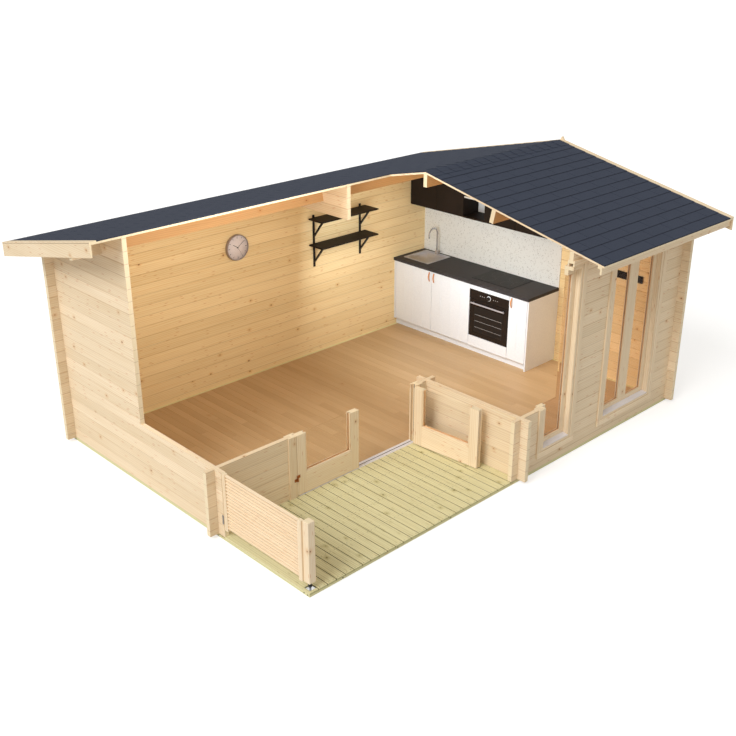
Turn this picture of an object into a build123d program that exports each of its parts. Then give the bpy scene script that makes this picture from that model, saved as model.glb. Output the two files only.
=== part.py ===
from build123d import *
import math
import os

# Cutaway log cabin, millimetres. X runs along the long front, Y to the back, Z up.
# The origin is on the ground in the middle of the plan.

# Plan and sections
length = 5214
depth = 3714
terrace_width = 2594
terrace_depth = 1202
low_cut_height = 664
front_cut_past_window = 63
back_cut_from_back = 1367
cutter_margin = 500

# Logs
log_height = 114
log_thickness = 44
log_projection = 90
groove_depth = 2
groove_half = 2.5

# Base, floor and terrace
base_height = 31
base_beam = 70
base_joist = 45
base_joists = 8
floor_board = 18
deck_rise = 5
deck_edge = 26
post_notch = 95

# Roof
roof_pitch = 12.34
plate_height = 2135
roof_board = 18
covering = 4
eave_overhang = 333
verge_overhang = 286
purlin_width = 48
purlin_height = 136
purlin_from_front = 950
bargeboard_thickness = 18
bargeboard_height = 129
cap_width = 68
cap_thickness = 12
fascia_thickness = 18
fascia_height = 72
fascia_setback = 24
batten = 26

# Entrance doors
left_hinge_from_left = 880
right_hinge_from_corner = 149
hinge_radius = 8
hinge_pin_radius = 4
pin_clearance = 0.05
hinge_play = 0.3
hinge_height = 60
hinge_centre = 230
hinge_leaf_thickness = 3
hinge_leaf_width = 34
door_gap = 5
door_open_angle = 95
leaf_thickness = 56
leaf_stile = 102
leaf_rail = 215
leaf_bottom = 45
left_leaf_width = 770
edge_groove = 8
edge_groove_width = 10
edge_groove_shares = (0.18, 0.55)
door_frame_face = 40
door_casing_width = 44
door_casing_thickness = 16
door_stop = 25
threshold_height = 10

# Windows
first_pier = 225
middle_pier = 415
last_pier = 316
pane_width = 280
mullion_width = 136
window_sash = 56
window_frame_face = 34
window_casing_width = 94
window_casing_thickness = 16
window_sill_courses = 1
courses_over_windows = 1
settling_gap = 38
sash_setback = 44
sash_thickness = 44
glass_thickness = 16
glass_bite = 10
sill_plate_thickness = 3
sill_plate_slope = 16

# Louvre screen and corner post
post_size = 70
post_inset = 20
post_bottom = 100
foot_plate = 50
foot_base = 34
foot_plate_thickness = 6
foot_rod_radius = 9
foot_nut_radius = 17
foot_nut_height = 14
screen_stile = 42
screen_thickness = 36
screen_bottom = 102
slat_pitch = 32
slat_width = 34
slat_thickness = 14
slat_angle = 42
bracket_width = 20
bracket_height = 90
bracket_thickness = 2.5
bracket_rise = 60

# Kitchen along the right wall
worktop_depth = 574
worktop_top = 939
worktop_thickness = 38
worktop_nose = 15
panel = 18
plinth_height = 85
plinth_recess = 22
front_gap = 5
back_filler = 24
pad_clearance = 0.3
wide_door = 625
narrow_door = 262
oven_width = 595
oven_bottom = 250
oven_height = 595
oven_panel_height = 118
oven_wall = 32
oven_depth = 500
hinge_block = 36
hinge_block_inset = 100
oven_hinge_inset = 60
handle_inset = 36
handle_drop = 12
strap_width = 14
strap_length = 120
strap_thickness = 4
strap_height = 24
oven_bar_radius = 9
oven_bar_drop = 38
oven_bar_reach = 34
oven_bar_inset = 40
oven_bar_post = 14
oven_bar_post_inset = 70
sink_size = 430
sink_bowl = 360
sink_depth = 150
sink_wall = 1.5
sink_front_margin = 104
sink_in_cupboard = 39
tap_radius = 9
tap_height = 350
tap_reach = 150
tap_flange = 6
tap_nose = 40
hob_width = 590
hob_depth = 430
hob_thickness = 4
hob_front_margin = 112
hob_from_end = 356
splashback_thickness = 8
cupboard_depth = 300
cupboard_below_plate = 45
cupboard_height = 500
cupboard_module = 440
cupboard_end_gap = 20
niche_width = 330
rail_radius = 5
rail_drop = 45
rail_hanger_radius = 4
rail_from_splashback = 30
rail_end_margin = 150
rail_hanger_inset = 60

# Fittings on the back and right walls
shelf_length = 900
shelf_from_beam = 542
shelf_depth = 250
shelf_thickness = 16
lower_shelf_top = 1410
upper_shelf_top = 1722
shelf_frame_bottom = 1124
shelf_frame_top = 1750
shelf_frame_bar = 26
shelf_frame_depth = 12
shelf_frame_inset = 80
shelf_front_margin = 40
brace_width = 20
brace_inset = 30
brace_drop = 10
clock_radius = 146
clock_depth = 42
clock_rim = 10
clock_recess = 12
clock_from_left = 2140
clock_height = 1602
coat_rail_length = 520
coat_rail_from_front = 425
coat_rail_height = 80
coat_rail_centre = 1300
coat_rail_thickness = 18

# Derived planes of the plan
left = -length / 2
right = length / 2
front = -depth / 2
back = depth / 2
terrace_x = left + terrace_width
terrace_y = front + terrace_depth
cut_y = back - back_cut_from_back
inner_back = back - log_thickness
inner_right = right - log_thickness
low_top = low_cut_height
slope = math.tan(math.radians(roof_pitch))
board_rise = roof_board / math.cos(math.radians(roof_pitch))
covering_rise = covering / math.cos(math.radians(roof_pitch))
ridge_underside = plate_height + back * slope
high = ridge_underside + cutter_margin
wall_courses = int((plate_height - base_height) / log_height)
verge_left = left - verge_overhang
verge_right = right + verge_overhang
eave_front = front - eave_overhang
eave_back = back + eave_overhang


def unit_half(panes):
    """Half the width of a window's wall opening."""
    glass_half = panes * pane_width / 2 + (panes - 1) * mullion_width / 2
    return glass_half + window_sash + window_frame_face


def casing_half(panes):
    """Half the width over the casings of a window."""
    return unit_half(panes) - window_frame_face + window_casing_width


# Windows in the front wall. The piers share what the casings leave, in their proportions.
first_pier_x = terrace_x + log_thickness
front_run = inner_right - first_pier_x
pier_scale = (front_run - 2 * casing_half(1) - 2 * casing_half(2)) / (
    first_pier + middle_pier + last_pier)
small_x = first_pier_x + first_pier * pier_scale + casing_half(1)
large_x = small_x + casing_half(1) + middle_pier * pier_scale + casing_half(2)
windows = {"small": (small_x, 1), "large": (large_x, 2)}
cut_x = small_x + front_cut_past_window

os.makedirs("parts", exist_ok=True)


def finish(part, name):
    """Label a finished sub-part and write its file."""
    part.label = name
    export_step(part, f"parts/{name}.step")


def block(x0, x1, y0, y1, z0, z1, mode=Mode.ADD):
    """A square-cornered solid between two corners, in the open builder."""
    with Locations(((x0 + x1) / 2, (y0 + y1) / 2, (z0 + z1) / 2)):
        Box(x1 - x0, y1 - y0, z1 - z0, mode=mode)


def roof_underside(y):
    """Height of the underside of the roof boards over a place in the plan."""
    return ridge_underside - abs(y) * slope


def log_section(face, top, half_first):
    """Outline across a log wall: flat logs with a V joint on both sides of each course."""
    first = base_height + (log_height / 2 if half_first else log_height)
    count = int((top - 2 * groove_half - first) // log_height) + 1
    joints = [first + course * log_height for course in range(count)]
    outer = [(face, base_height)]
    inner = [(face + log_thickness, base_height)]
    for z in joints:
        outer += [(face, z - groove_half), (face + groove_depth, z), (face, z + groove_half)]
        inner += [
            (face + log_thickness, z - groove_half),
            (face + log_thickness - groove_depth, z),
            (face + log_thickness, z + groove_half),
        ]
    return outer + [(face, top), (face + log_thickness, top)] + inner[::-1]


def logs_along_x(x0, x1, face, top):
    """Courses that run along X, starting on half a log."""
    with BuildSketch(Plane.YZ.offset(x0)) as courses:
        with BuildLine():
            Polyline(*log_section(face, top, True), close=True)
        make_face()
    extrude(courses.sketch, amount=x1 - x0)


def logs_along_y(y0, y1, face, top):
    """Courses that run along Y, starting on a full log."""
    with BuildSketch(Plane.XZ.offset(-y1)) as courses:
        with BuildLine():
            Polyline(*log_section(face, top, False), close=True)
        make_face()
    extrude(courses.sketch, amount=y1 - y0)


def cut_seats(x, y, middles):
    """Notches half a log high and as wide as a log, at each height of one crossing."""
    centre_x = x + log_thickness / 2
    centre_y = y + log_thickness / 2
    with Locations(*[(centre_x, centre_y, middle) for middle in middles]):
        Box(log_thickness, log_thickness, log_height / 2, mode=Mode.SUBTRACT)


def seats_for_y_logs(x, y, bottom, top):
    """Notches in a wall along X that seat the middles of the logs of a wall along Y."""
    count = math.ceil((top - base_height) / log_height)
    middles = [base_height + (course + 0.5) * log_height for course in range(count)]
    cut_seats(x, y, [middle for middle in middles if middle > bottom])


def seats_for_x_logs(x, y, top):
    """Notches in a wall along Y that seat the middles of the logs of a wall along X."""
    count = int((top - base_height) / log_height - 0.25) + 1
    cut_seats(x, y, [base_height + course * log_height for course in range(count)])


def cut_above_roof(x0, x1):
    """Remove what stands above the underside of the roof boards."""
    reach = back + eave_overhang
    with BuildSketch(Plane.YZ.offset(x0)) as above:
        with BuildLine():
            Polyline(
                (-reach, roof_underside(reach)),
                (0, ridge_underside),
                (reach, roof_underside(reach)),
                (reach, high),
                (-reach, high),
                close=True,
            )
        make_face()
    extrude(above.sketch, amount=x1 - x0, mode=Mode.SUBTRACT)


def purlin_plane(x, y):
    """Plane across a purlin under one slope, with its local Y square to the boards."""
    tilt = math.radians(roof_pitch) * (-1 if y > 0 else 1)
    return Plane(
        origin=(x, y, roof_underside(y)),
        x_dir=(0, math.cos(tilt), math.sin(tilt)),
        z_dir=(1, 0, 0),
    )


def purlin_bar(x0, x1, y, mode=Mode.ADD):
    """A purlin that hangs square under the roof boards."""
    with BuildSketch(purlin_plane(x0, y)) as bar:
        with Locations((0, -purlin_height / 2)):
            Rectangle(purlin_width, purlin_height)
    extrude(bar.sketch, amount=x1 - x0, mode=mode)


def ridge_bar(x0, x1, mode=Mode.ADD):
    """The upright ridge purlin, before its top is bevelled to the slopes."""
    bottom = ridge_underside - purlin_height
    block(x0, x1, -purlin_width / 2, purlin_width / 2, bottom, ridge_underside, mode)


purlin_y = purlin_from_front - depth / 2

# Base frame: beams under every wall, and joists between them
with BuildPart() as base_frame:
    block(left, right, back - base_beam, back, 0, base_height)
    block(left, left + base_beam, terrace_y, back - base_beam, 0, base_height)
    block(right - base_beam, right, front + base_beam, back - base_beam, 0, base_height)
    block(left + base_beam, terrace_x + base_beam, terrace_y, terrace_y + base_beam, 0, base_height)
    block(terrace_x, terrace_x + base_beam, front + base_beam, terrace_y, 0, base_height)
    block(terrace_x, right, front, front + base_beam, 0, base_height)
    joist_pitch = (back - base_beam - terrace_y - base_beam) / base_joists
    for row in range(1, base_joists):
        joist_y = terrace_y + base_beam + row * joist_pitch
        joist_top = base_height - floor_board
        block(left + base_beam, right - base_beam, joist_y, joist_y + base_joist, 0, joist_top)
finish(base_frame.part, "base_frame")

# Terrace: edge beams and bearers under a deck with a corner notch for the post
with BuildPart() as terrace_frame:
    frame_top = base_height + deck_rise - floor_board
    block(left, terrace_x, front, front + deck_edge, 0, frame_top)
    block(left, left + deck_edge, front + deck_edge, terrace_y, 0, frame_top)
    bearer_pitch = terrace_depth / 4
    for row in range(1, 4):
        bearer_y = front + row * bearer_pitch
        block(left + deck_edge, terrace_x, bearer_y, bearer_y + base_joist, 0, frame_top)
    block(left + deck_edge, left + post_notch, front + deck_edge, front + post_notch, 0,
          frame_top, Mode.SUBTRACT)
finish(terrace_frame.part, "terrace_frame")

with BuildPart() as terrace_deck:
    deck_top = base_height + deck_rise
    block(left, terrace_x, front, terrace_y, deck_top - floor_board, deck_top)
    block(left + deck_edge, left + post_notch, front + deck_edge, front + post_notch,
          deck_top - floor_board, deck_top, Mode.SUBTRACT)
    block(left, left + log_thickness, terrace_y - log_projection, terrace_y,
          base_height, deck_top, Mode.SUBTRACT)
    block(terrace_x - log_projection, terrace_x, front, front + log_thickness,
          base_height, deck_top, Mode.SUBTRACT)
finish(terrace_deck.part, "terrace_deck")

# Floor: one layer of boards between the beams, round the terrace corner
with BuildPart() as floor:
    floor_bottom = base_height - floor_board
    block(left + base_beam, right - base_beam, terrace_y + base_beam, back - base_beam,
          floor_bottom, base_height)
    block(terrace_x + base_beam, right - base_beam, front + base_beam, terrace_y + base_beam,
          floor_bottom, base_height)
finish(floor.part, "floor")

# Log walls. Every crossing seats half-height necks of one wall in notches of the other.
with BuildPart() as left_wall:
    logs_along_y(cut_y, back + log_projection, left, high)
    seats_for_x_logs(left, inner_back, plate_height)
    purlin_bar(left, left + log_thickness, -purlin_y, Mode.SUBTRACT)
    cut_above_roof(left, left + log_thickness)
finish(left_wall.part, "left_wall")

with BuildPart() as left_wall_low:
    logs_along_y(terrace_y - log_projection, cut_y, left, low_top)
    seats_for_x_logs(left, terrace_y, low_top)
finish(left_wall_low.part, "left_wall_low")

with BuildPart() as right_wall:
    logs_along_y(front - log_projection, back + log_projection, inner_right, high)
    seats_for_x_logs(inner_right, inner_back, plate_height)
    seats_for_x_logs(inner_right, front, plate_height)
    ridge_bar(inner_right, right, Mode.SUBTRACT)
    for y in (purlin_y, -purlin_y):
        purlin_bar(inner_right, right, y, Mode.SUBTRACT)
    cut_above_roof(inner_right, right)
finish(right_wall.part, "right_wall")

cross_bottom = base_height + wall_courses * log_height
with BuildPart() as cross_beam:
    logs_along_y(cut_y, back + log_projection, terrace_x, high)
    block(terrace_x, terrace_x + log_thickness, cut_y, back + log_projection,
          base_height, cross_bottom, Mode.SUBTRACT)
    seats_for_x_logs(terrace_x, inner_back, plate_height)
    purlin_bar(terrace_x, terrace_x + log_thickness, -purlin_y, Mode.SUBTRACT)
    cut_above_roof(terrace_x, terrace_x + log_thickness)
finish(cross_beam.part, "cross_beam")

with BuildPart() as back_wall:
    logs_along_x(left - log_projection, right + log_projection, inner_back, high)
    for x in (left, inner_right):
        seats_for_y_logs(x, inner_back, base_height, high)
    seats_for_y_logs(terrace_x, inner_back, cross_bottom, high)
    cut_above_roof(left - log_projection, right + log_projection)
finish(back_wall.part, "back_wall")

with BuildPart() as terrace_side_wall:
    logs_along_y(front - log_projection, terrace_y + log_thickness + log_projection,
                 terrace_x, low_top)
    seats_for_x_logs(terrace_x, front, low_top)
    seats_for_x_logs(terrace_x, terrace_y, low_top)
finish(terrace_side_wall.part, "terrace_side_wall")

# Doorway edges in the recessed wall
doorway_left = left + left_hinge_from_left - door_frame_face
doorway_right = terrace_x - right_hinge_from_corner + door_frame_face

with BuildPart() as recessed_wall_left:
    logs_along_x(left - log_projection, doorway_left, terrace_y, low_top)
    seats_for_y_logs(left, terrace_y, base_height, low_top)
finish(recessed_wall_left.part, "recessed_wall_left")

with BuildPart() as recessed_wall_right:
    logs_along_x(doorway_right, terrace_x + log_thickness + log_projection, terrace_y, low_top)
    seats_for_y_logs(terrace_x, terrace_y, base_height, low_top)
finish(recessed_wall_right.part, "recessed_wall_right")

# Window openings in the front wall
opening_bottom = base_height + (window_sill_courses + 0.5) * log_height
opening_top = base_height + (wall_courses - courses_over_windows + 0.5) * log_height
frame_top_height = opening_top - settling_gap


def cut_window_openings():
    """Cut both window openings through the front wall."""
    for centre, panes in windows.values():
        half = unit_half(panes)
        block(centre - half, centre + half, front, front + log_thickness,
              opening_bottom, opening_top, Mode.SUBTRACT)


with BuildPart() as front_wall_low:
    logs_along_x(terrace_x - log_projection, cut_x, front, low_top)
    seats_for_y_logs(terrace_x, front, base_height, low_top)
    cut_window_openings()
finish(front_wall_low.part, "front_wall_low")

with BuildPart() as front_wall:
    logs_along_x(cut_x, right + log_projection, front, high)
    seats_for_y_logs(inner_right, front, base_height, high)
    cut_window_openings()
    cut_above_roof(cut_x, right + log_projection)
finish(front_wall.part, "front_wall")

# Purlins. They run to the back of the bargeboards and stop at the section planes.
with BuildPart() as ridge_purlin:
    ridge_bar(cut_x, verge_right)
    cut_above_roof(cut_x, verge_right)
finish(ridge_purlin.part, "ridge_purlin")

with BuildPart() as front_purlin:
    purlin_bar(cut_x, verge_right, purlin_y)
finish(front_purlin.part, "front_purlin")

with BuildPart() as back_purlin:
    purlin_bar(verge_left, verge_right, -purlin_y)
finish(back_purlin.part, "back_purlin")


def roof_layer(x0, x1, y0, y1, lift, rise):
    """A layer of one roof slope between two places in the plan, with plumb ends."""
    with BuildSketch(Plane.YZ.offset(x0)) as layer:
        with BuildLine():
            Polyline(
                (y0, roof_underside(y0) + lift),
                (y1, roof_underside(y1) + lift),
                (y1, roof_underside(y1) + lift + rise),
                (y0, roof_underside(y0) + lift + rise),
                close=True,
            )
        make_face()
    extrude(layer.sketch, amount=x1 - x0)


def back_slope_layer(x0, x1, lift, rise):
    """The back slope: whole at the right, and a strip along the back at the left."""
    roof_layer(cut_x, x1, 0, eave_back, lift, rise)
    roof_layer(x0, cut_x, cut_y, eave_back, lift, rise)


# Roof boards as far as the bargeboards, and covering as far as their caps
cap_left = verge_left - bargeboard_thickness + cap_width
cap_right = verge_right + bargeboard_thickness - cap_width
with BuildPart() as roof_boards_front:
    roof_layer(cut_x, verge_right, eave_front, 0, 0, board_rise)
finish(roof_boards_front.part, "roof_boards_front")

with BuildPart() as roof_boards_back:
    back_slope_layer(verge_left, verge_right, 0, board_rise)
finish(roof_boards_back.part, "roof_boards_back")

with BuildPart() as roof_covering_front:
    roof_layer(cut_x, cap_right, eave_front, 0, board_rise, covering_rise)
finish(roof_covering_front.part, "roof_covering_front")

with BuildPart() as roof_covering_back:
    back_slope_layer(cap_left, cap_right, board_rise, covering_rise)
finish(roof_covering_back.part, "roof_covering_back")

# Bargeboards with a cap that lies on them and on the edge of the roof boards
def bargeboard(side, y0, y1):
    """A bargeboard outside one verge, with its cap beside the covering."""
    verge = verge_right if side > 0 else verge_left
    outer = verge + side * bargeboard_thickness
    cap_inner = cap_right if side > 0 else cap_left
    roof_layer(min(verge, outer), max(verge, outer), y0, y1,
               board_rise - bargeboard_height, bargeboard_height)
    roof_layer(min(cap_inner, outer), max(cap_inner, outer), y0, y1, board_rise, cap_thickness)


with BuildPart() as left_bargeboard:
    bargeboard(-1, cut_y, eave_back)
finish(left_bargeboard.part, "left_bargeboard")

with BuildPart() as right_bargeboard_front:
    bargeboard(1, eave_front, 0)
finish(right_bargeboard_front.part, "right_bargeboard_front")

with BuildPart() as right_bargeboard_back:
    bargeboard(1, 0, eave_back)
finish(right_bargeboard_back.part, "right_bargeboard_back")


def eave_boards(x0, x1, side):
    """Fascia and batten under the eave of one slope."""
    outer = side * (eave_back - fascia_setback)
    inner = outer - side * fascia_thickness
    behind = inner - side * batten
    top = roof_underside(outer)
    bottom = top - fascia_height
    with BuildSketch(Plane.YZ.offset(x0)) as boards:
        with BuildLine():
            Polyline(
                (outer, bottom),
                (inner, bottom),
                (inner, roof_underside(inner) - batten),
                (behind, roof_underside(behind) - batten),
                (behind, roof_underside(behind)),
                (outer, top),
                close=True,
            )
        make_face()
    extrude(boards.sketch, amount=x1 - x0)


with BuildPart() as front_fascia:
    eave_boards(cut_x, verge_right, -1)
finish(front_fascia.part, "front_fascia")

with BuildPart() as back_fascia:
    eave_boards(verge_left, verge_right, 1)
finish(back_fascia.part, "back_fascia")

# Entrance: hinge lines stand in front of the leaves by the radius of a barrel
frame_front = terrace_y - door_casing_thickness
leaf_face = hinge_radius + hinge_play
leaf_back = leaf_face + leaf_thickness
pin_y = frame_front - leaf_face
pin_left = left + left_hinge_from_left
pin_right = terrace_x - right_hinge_from_corner
right_leaf_width = pin_right - pin_left - left_leaf_width - door_gap
stop_front = pin_y + leaf_back + door_gap
frame_back = terrace_y + log_thickness + door_casing_thickness


def door_jamb(side, pin_x):
    """A jamb that grips the log ends, with its stop and the casings on both faces."""
    reveal = pin_x
    wall_edge = pin_x + side * door_frame_face
    casing_edge = wall_edge + side * door_casing_width
    stop_edge = pin_x - side * door_stop
    with BuildSketch(Plane.XY.offset(base_height)) as jamb:
        with BuildLine():
            Polyline(
                (reveal, frame_front),
                (casing_edge, frame_front),
                (casing_edge, terrace_y),
                (wall_edge, terrace_y),
                (wall_edge, terrace_y + log_thickness),
                (casing_edge, terrace_y + log_thickness),
                (casing_edge, frame_back),
                (stop_edge, frame_back),
                (stop_edge, stop_front),
                (reveal, stop_front),
                close=True,
            )
        make_face()
    extrude(jamb.sketch, amount=low_top - base_height)
    casing_range = sorted((stop_edge, casing_edge))
    block(*casing_range, frame_front, terrace_y, base_height, deck_top, Mode.SUBTRACT)


with BuildPart() as door_frame:
    door_jamb(-1, pin_left)
    door_jamb(1, pin_right)
finish(door_frame.part, "door_frame")

with BuildPart() as threshold:
    block(pin_left + door_stop, pin_right - door_stop, frame_front, frame_back,
          base_height, base_height + threshold_height)
    block(pin_left + door_stop, pin_right - door_stop, frame_front, terrace_y,
          base_height, deck_top, Mode.SUBTRACT)
finish(threshold.part, "threshold")


def leaf_plane(side, angle):
    """Plane at a hinge pin: X runs along the leaf to its free edge, Z up."""
    turn = math.radians(angle)
    along = (-side * math.cos(turn), -math.sin(turn), 0)
    pin_x = pin_right if side > 0 else pin_left
    return Plane(origin=(pin_x, pin_y, 0), x_dir=along, z_dir=(0, 0, 1))


def leaf_block(side, x0, x1, inner0, inner1, z0, z1, mode=Mode.ADD):
    """A block of a leaf: along it, inwards from the pin line, and up."""
    y0, y1 = sorted((-side * inner0, -side * inner1))
    block(x0, x1, y0, y1, z0, z1, mode)


glass_front = leaf_face + (leaf_thickness - glass_thickness) / 2
glass_back = glass_front + glass_thickness


def door_leaf(side, width):
    """A leaf with stiles and bottom rail round a glazing groove, and its hinge barrels."""
    leaf_block(side, door_gap, width, leaf_face, leaf_back, leaf_bottom, low_top)
    inner_left = door_gap + leaf_stile
    inner_right_edge = width - leaf_stile
    inner_bottom = leaf_bottom + leaf_rail
    leaf_block(side, inner_left, inner_right_edge, leaf_face, leaf_back,
               inner_bottom, low_top, Mode.SUBTRACT)
    leaf_block(side, inner_left - glass_bite, inner_right_edge + glass_bite,
               glass_front, glass_back, inner_bottom - glass_bite, low_top, Mode.SUBTRACT)
    for share in edge_groove_shares:
        groove_back = leaf_back - share * leaf_thickness + edge_groove_width / 2
        leaf_block(side, width - edge_groove, width, groove_back - edge_groove_width,
                   groove_back, leaf_bottom, low_top, Mode.SUBTRACT)
    barrel_bottom = hinge_centre + hinge_play
    barrel_height = hinge_height / 2 - hinge_play
    leaf_block(side, 0, hinge_leaf_width, leaf_face - hinge_leaf_thickness, leaf_face,
               barrel_bottom, barrel_bottom + barrel_height)
    with Locations((0, 0, barrel_bottom + barrel_height / 2)):
        Cylinder(hinge_radius, barrel_height)
        Cylinder(hinge_pin_radius + pin_clearance, barrel_height, mode=Mode.SUBTRACT)


def door_glass(side, width):
    """The pane of a leaf, seated in its groove and cut at the section plane."""
    leaf_block(side, door_gap + leaf_stile - glass_bite, width - leaf_stile + glass_bite,
               glass_front, glass_back, leaf_bottom + leaf_rail - glass_bite, low_top)


with BuildPart(leaf_plane(-1, 0)) as door_leaf_left:
    door_leaf(-1, left_leaf_width)
finish(door_leaf_left.part, "door_leaf_left")

with BuildPart(leaf_plane(-1, 0)) as door_glass_left:
    door_glass(-1, left_leaf_width)
finish(door_glass_left.part, "door_glass_left")

with BuildPart(leaf_plane(1, door_open_angle)) as door_leaf_right:
    door_leaf(1, right_leaf_width)
finish(door_leaf_right.part, "door_leaf_right")

with BuildPart(leaf_plane(1, door_open_angle)) as door_glass_right:
    door_glass(1, right_leaf_width)
finish(door_glass_right.part, "door_glass_right")

# Frame halves of the entrance hinges, with the pins that the leaf barrels turn on
with BuildPart() as door_hinges:
    for side, pin_x in ((-1, pin_left), (1, pin_right)):
        with Locations((pin_x, pin_y, hinge_centre - hinge_height / 4)):
            Cylinder(hinge_radius, hinge_height / 2)
        with Locations((pin_x, pin_y, hinge_centre + hinge_height / 4)):
            Cylinder(hinge_pin_radius, hinge_height / 2)
        x0, x1 = sorted((pin_x, pin_x + side * hinge_leaf_width))
        block(x0, x1, frame_front - hinge_leaf_thickness, frame_front,
              hinge_centre - hinge_height / 2, hinge_centre)
finish(door_hinges.part, "door_hinges")

# Windows: a frame that grips the log ends, a recessed sash in it, panes and a sloping sill
wall_back = front + log_thickness
casing_back = wall_back + window_casing_thickness
window_front = front - window_casing_thickness
sash_front = front + sash_setback
sash_back = sash_front + sash_thickness
pane_front = sash_front + (sash_thickness - glass_thickness) / 2


def trim_to_section():
    """Cut a window piece at the section planes: low left of the cut, whole right of it."""
    block(left, cut_x, eave_front, 0, low_top, high, Mode.SUBTRACT)


def window_frame(centre, panes):
    """Frame and casings as one ring with a groove for the log ends."""
    half = unit_half(panes)
    clear = half - window_frame_face
    bottom = opening_bottom + window_frame_face
    top = frame_top_height - window_frame_face
    outer = casing_half(panes)
    casing_bottom = bottom - window_casing_width
    casing_top = top + window_casing_width
    for y0, y1 in ((window_front, front), (wall_back, casing_back)):
        block(centre - outer, centre + outer, y0, y1, casing_bottom, casing_top)
    block(centre - half, centre + half, front, sash_back, opening_bottom, frame_top_height)
    block(centre - clear, centre + clear, window_front, sash_back, bottom, top, Mode.SUBTRACT)


def window_sash_ring(centre, panes):
    """Sash with a groove for each pane, and a mullion between two panes."""
    half = unit_half(panes) - window_frame_face
    bottom = opening_bottom + window_frame_face
    top = frame_top_height - window_frame_face
    block(centre - half, centre + half, sash_front, sash_back, bottom, top)
    for x in pane_centres(centre, panes):
        block(x - pane_width / 2, x + pane_width / 2, sash_front, sash_back,
              bottom + window_sash, top - window_sash, Mode.SUBTRACT)
        block(x - pane_width / 2 - glass_bite, x + pane_width / 2 + glass_bite,
              pane_front, pane_front + glass_thickness,
              bottom + window_sash - glass_bite, top - window_sash + glass_bite, Mode.SUBTRACT)


def pane_centres(centre, panes):
    """Middle of each pane of a window."""
    pitch = pane_width + mullion_width
    return [centre + (index - (panes - 1) / 2) * pitch for index in range(panes)]


with BuildPart() as window_small_frame:
    window_frame(*windows["small"])
    trim_to_section()
finish(window_small_frame.part, "window_small_frame")

with BuildPart() as window_small_sash:
    window_sash_ring(*windows["small"])
    trim_to_section()
finish(window_small_sash.part, "window_small_sash")

with BuildPart() as window_large_frame:
    window_frame(*windows["large"])
finish(window_large_frame.part, "window_large_frame")

with BuildPart() as window_large_sash:
    window_sash_ring(*windows["large"])
finish(window_large_sash.part, "window_large_sash")

with BuildPart() as window_glass:
    pane_z0 = opening_bottom + window_frame_face + window_sash - glass_bite
    pane_z1 = frame_top_height - window_frame_face - window_sash + glass_bite
    for centre, panes in windows.values():
        for x in pane_centres(centre, panes):
            block(x - pane_width / 2 - glass_bite, x + pane_width / 2 + glass_bite,
                  pane_front, pane_front + glass_thickness, pane_z0, pane_z1)
    trim_to_section()
finish(window_glass.part, "window_glass")

with BuildPart() as window_sills:
    for centre, panes in windows.values():
        half = unit_half(panes) - window_frame_face
        sill_bottom = opening_bottom + window_frame_face
        with BuildSketch(Plane.YZ.offset(centre - half)):
            with BuildLine():
                Polyline(
                    (window_front, sill_bottom),
                    (sash_front, sill_bottom),
                    (sash_front, sill_bottom + sill_plate_slope),
                    (window_front, sill_bottom + sill_plate_thickness),
                    close=True,
                )
            make_face()
        extrude(amount=2 * half)
finish(window_sills.part, "window_sills")

# Corner post on an adjustable foot that stands in the notch of the deck
post_x0 = left + post_inset
post_y0 = front + post_inset
post_mid_x = post_x0 + post_size / 2
post_mid_y = post_y0 + post_size / 2
with BuildPart() as corner_post:
    block(post_x0, post_x0 + post_size, post_y0, post_y0 + post_size, post_bottom, low_top)
finish(corner_post.part, "corner_post")

with BuildPart() as post_foot:
    with Locations((post_mid_x, post_mid_y, foot_plate_thickness / 2)):
        Box(foot_base, foot_base, foot_plate_thickness)
    with Locations((post_mid_x, post_mid_y, post_bottom - foot_plate_thickness / 2)):
        Box(foot_plate, foot_plate, foot_plate_thickness)
    with Locations((post_mid_x, post_mid_y, post_bottom / 2)):
        Cylinder(foot_rod_radius, post_bottom)
    with BuildSketch(Plane.XY.offset(post_bottom / 2)):
        with Locations((post_mid_x, post_mid_y)):
            RegularPolygon(foot_nut_radius, 6)
    extrude(amount=foot_nut_height)
finish(post_foot.part, "post_foot")

# Louvre screen between the post and the end of the left wall
screen_x0 = left + (log_thickness - screen_thickness) / 2
screen_x1 = screen_x0 + screen_thickness
screen_y0 = post_y0 + post_size
screen_y1 = terrace_y - log_projection
slat_count = int((low_top - screen_bottom) // slat_pitch)
with BuildPart() as louvre_screen:
    for y in (screen_y0, screen_y1 - screen_stile):
        block(screen_x0, screen_x1, y, y + screen_stile, screen_bottom, low_top)
    slat_plane = Plane.XZ.offset(-(screen_y1 - screen_stile))
    with BuildSketch(slat_plane):
        for row in range(slat_count):
            slat_z = low_top - (row + 0.5) * slat_pitch
            with Locations(Location(((screen_x0 + screen_x1) / 2, slat_z), slat_angle)):
                Rectangle(slat_width, slat_thickness)
    extrude(amount=screen_y1 - screen_stile - screen_y0 - screen_stile)
    block(screen_x0 - slat_width, screen_x1 + slat_width, screen_y0, screen_y1,
          low_top, low_top + slat_pitch, Mode.SUBTRACT)
finish(louvre_screen.part, "louvre_screen")

with BuildPart() as screen_bracket:
    bracket_z = screen_bottom + bracket_rise
    block(left - bracket_thickness, left, screen_y1, screen_y1 + bracket_width,
          bracket_z, bracket_z + bracket_height)
finish(screen_bracket.part, "screen_bracket")

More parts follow.
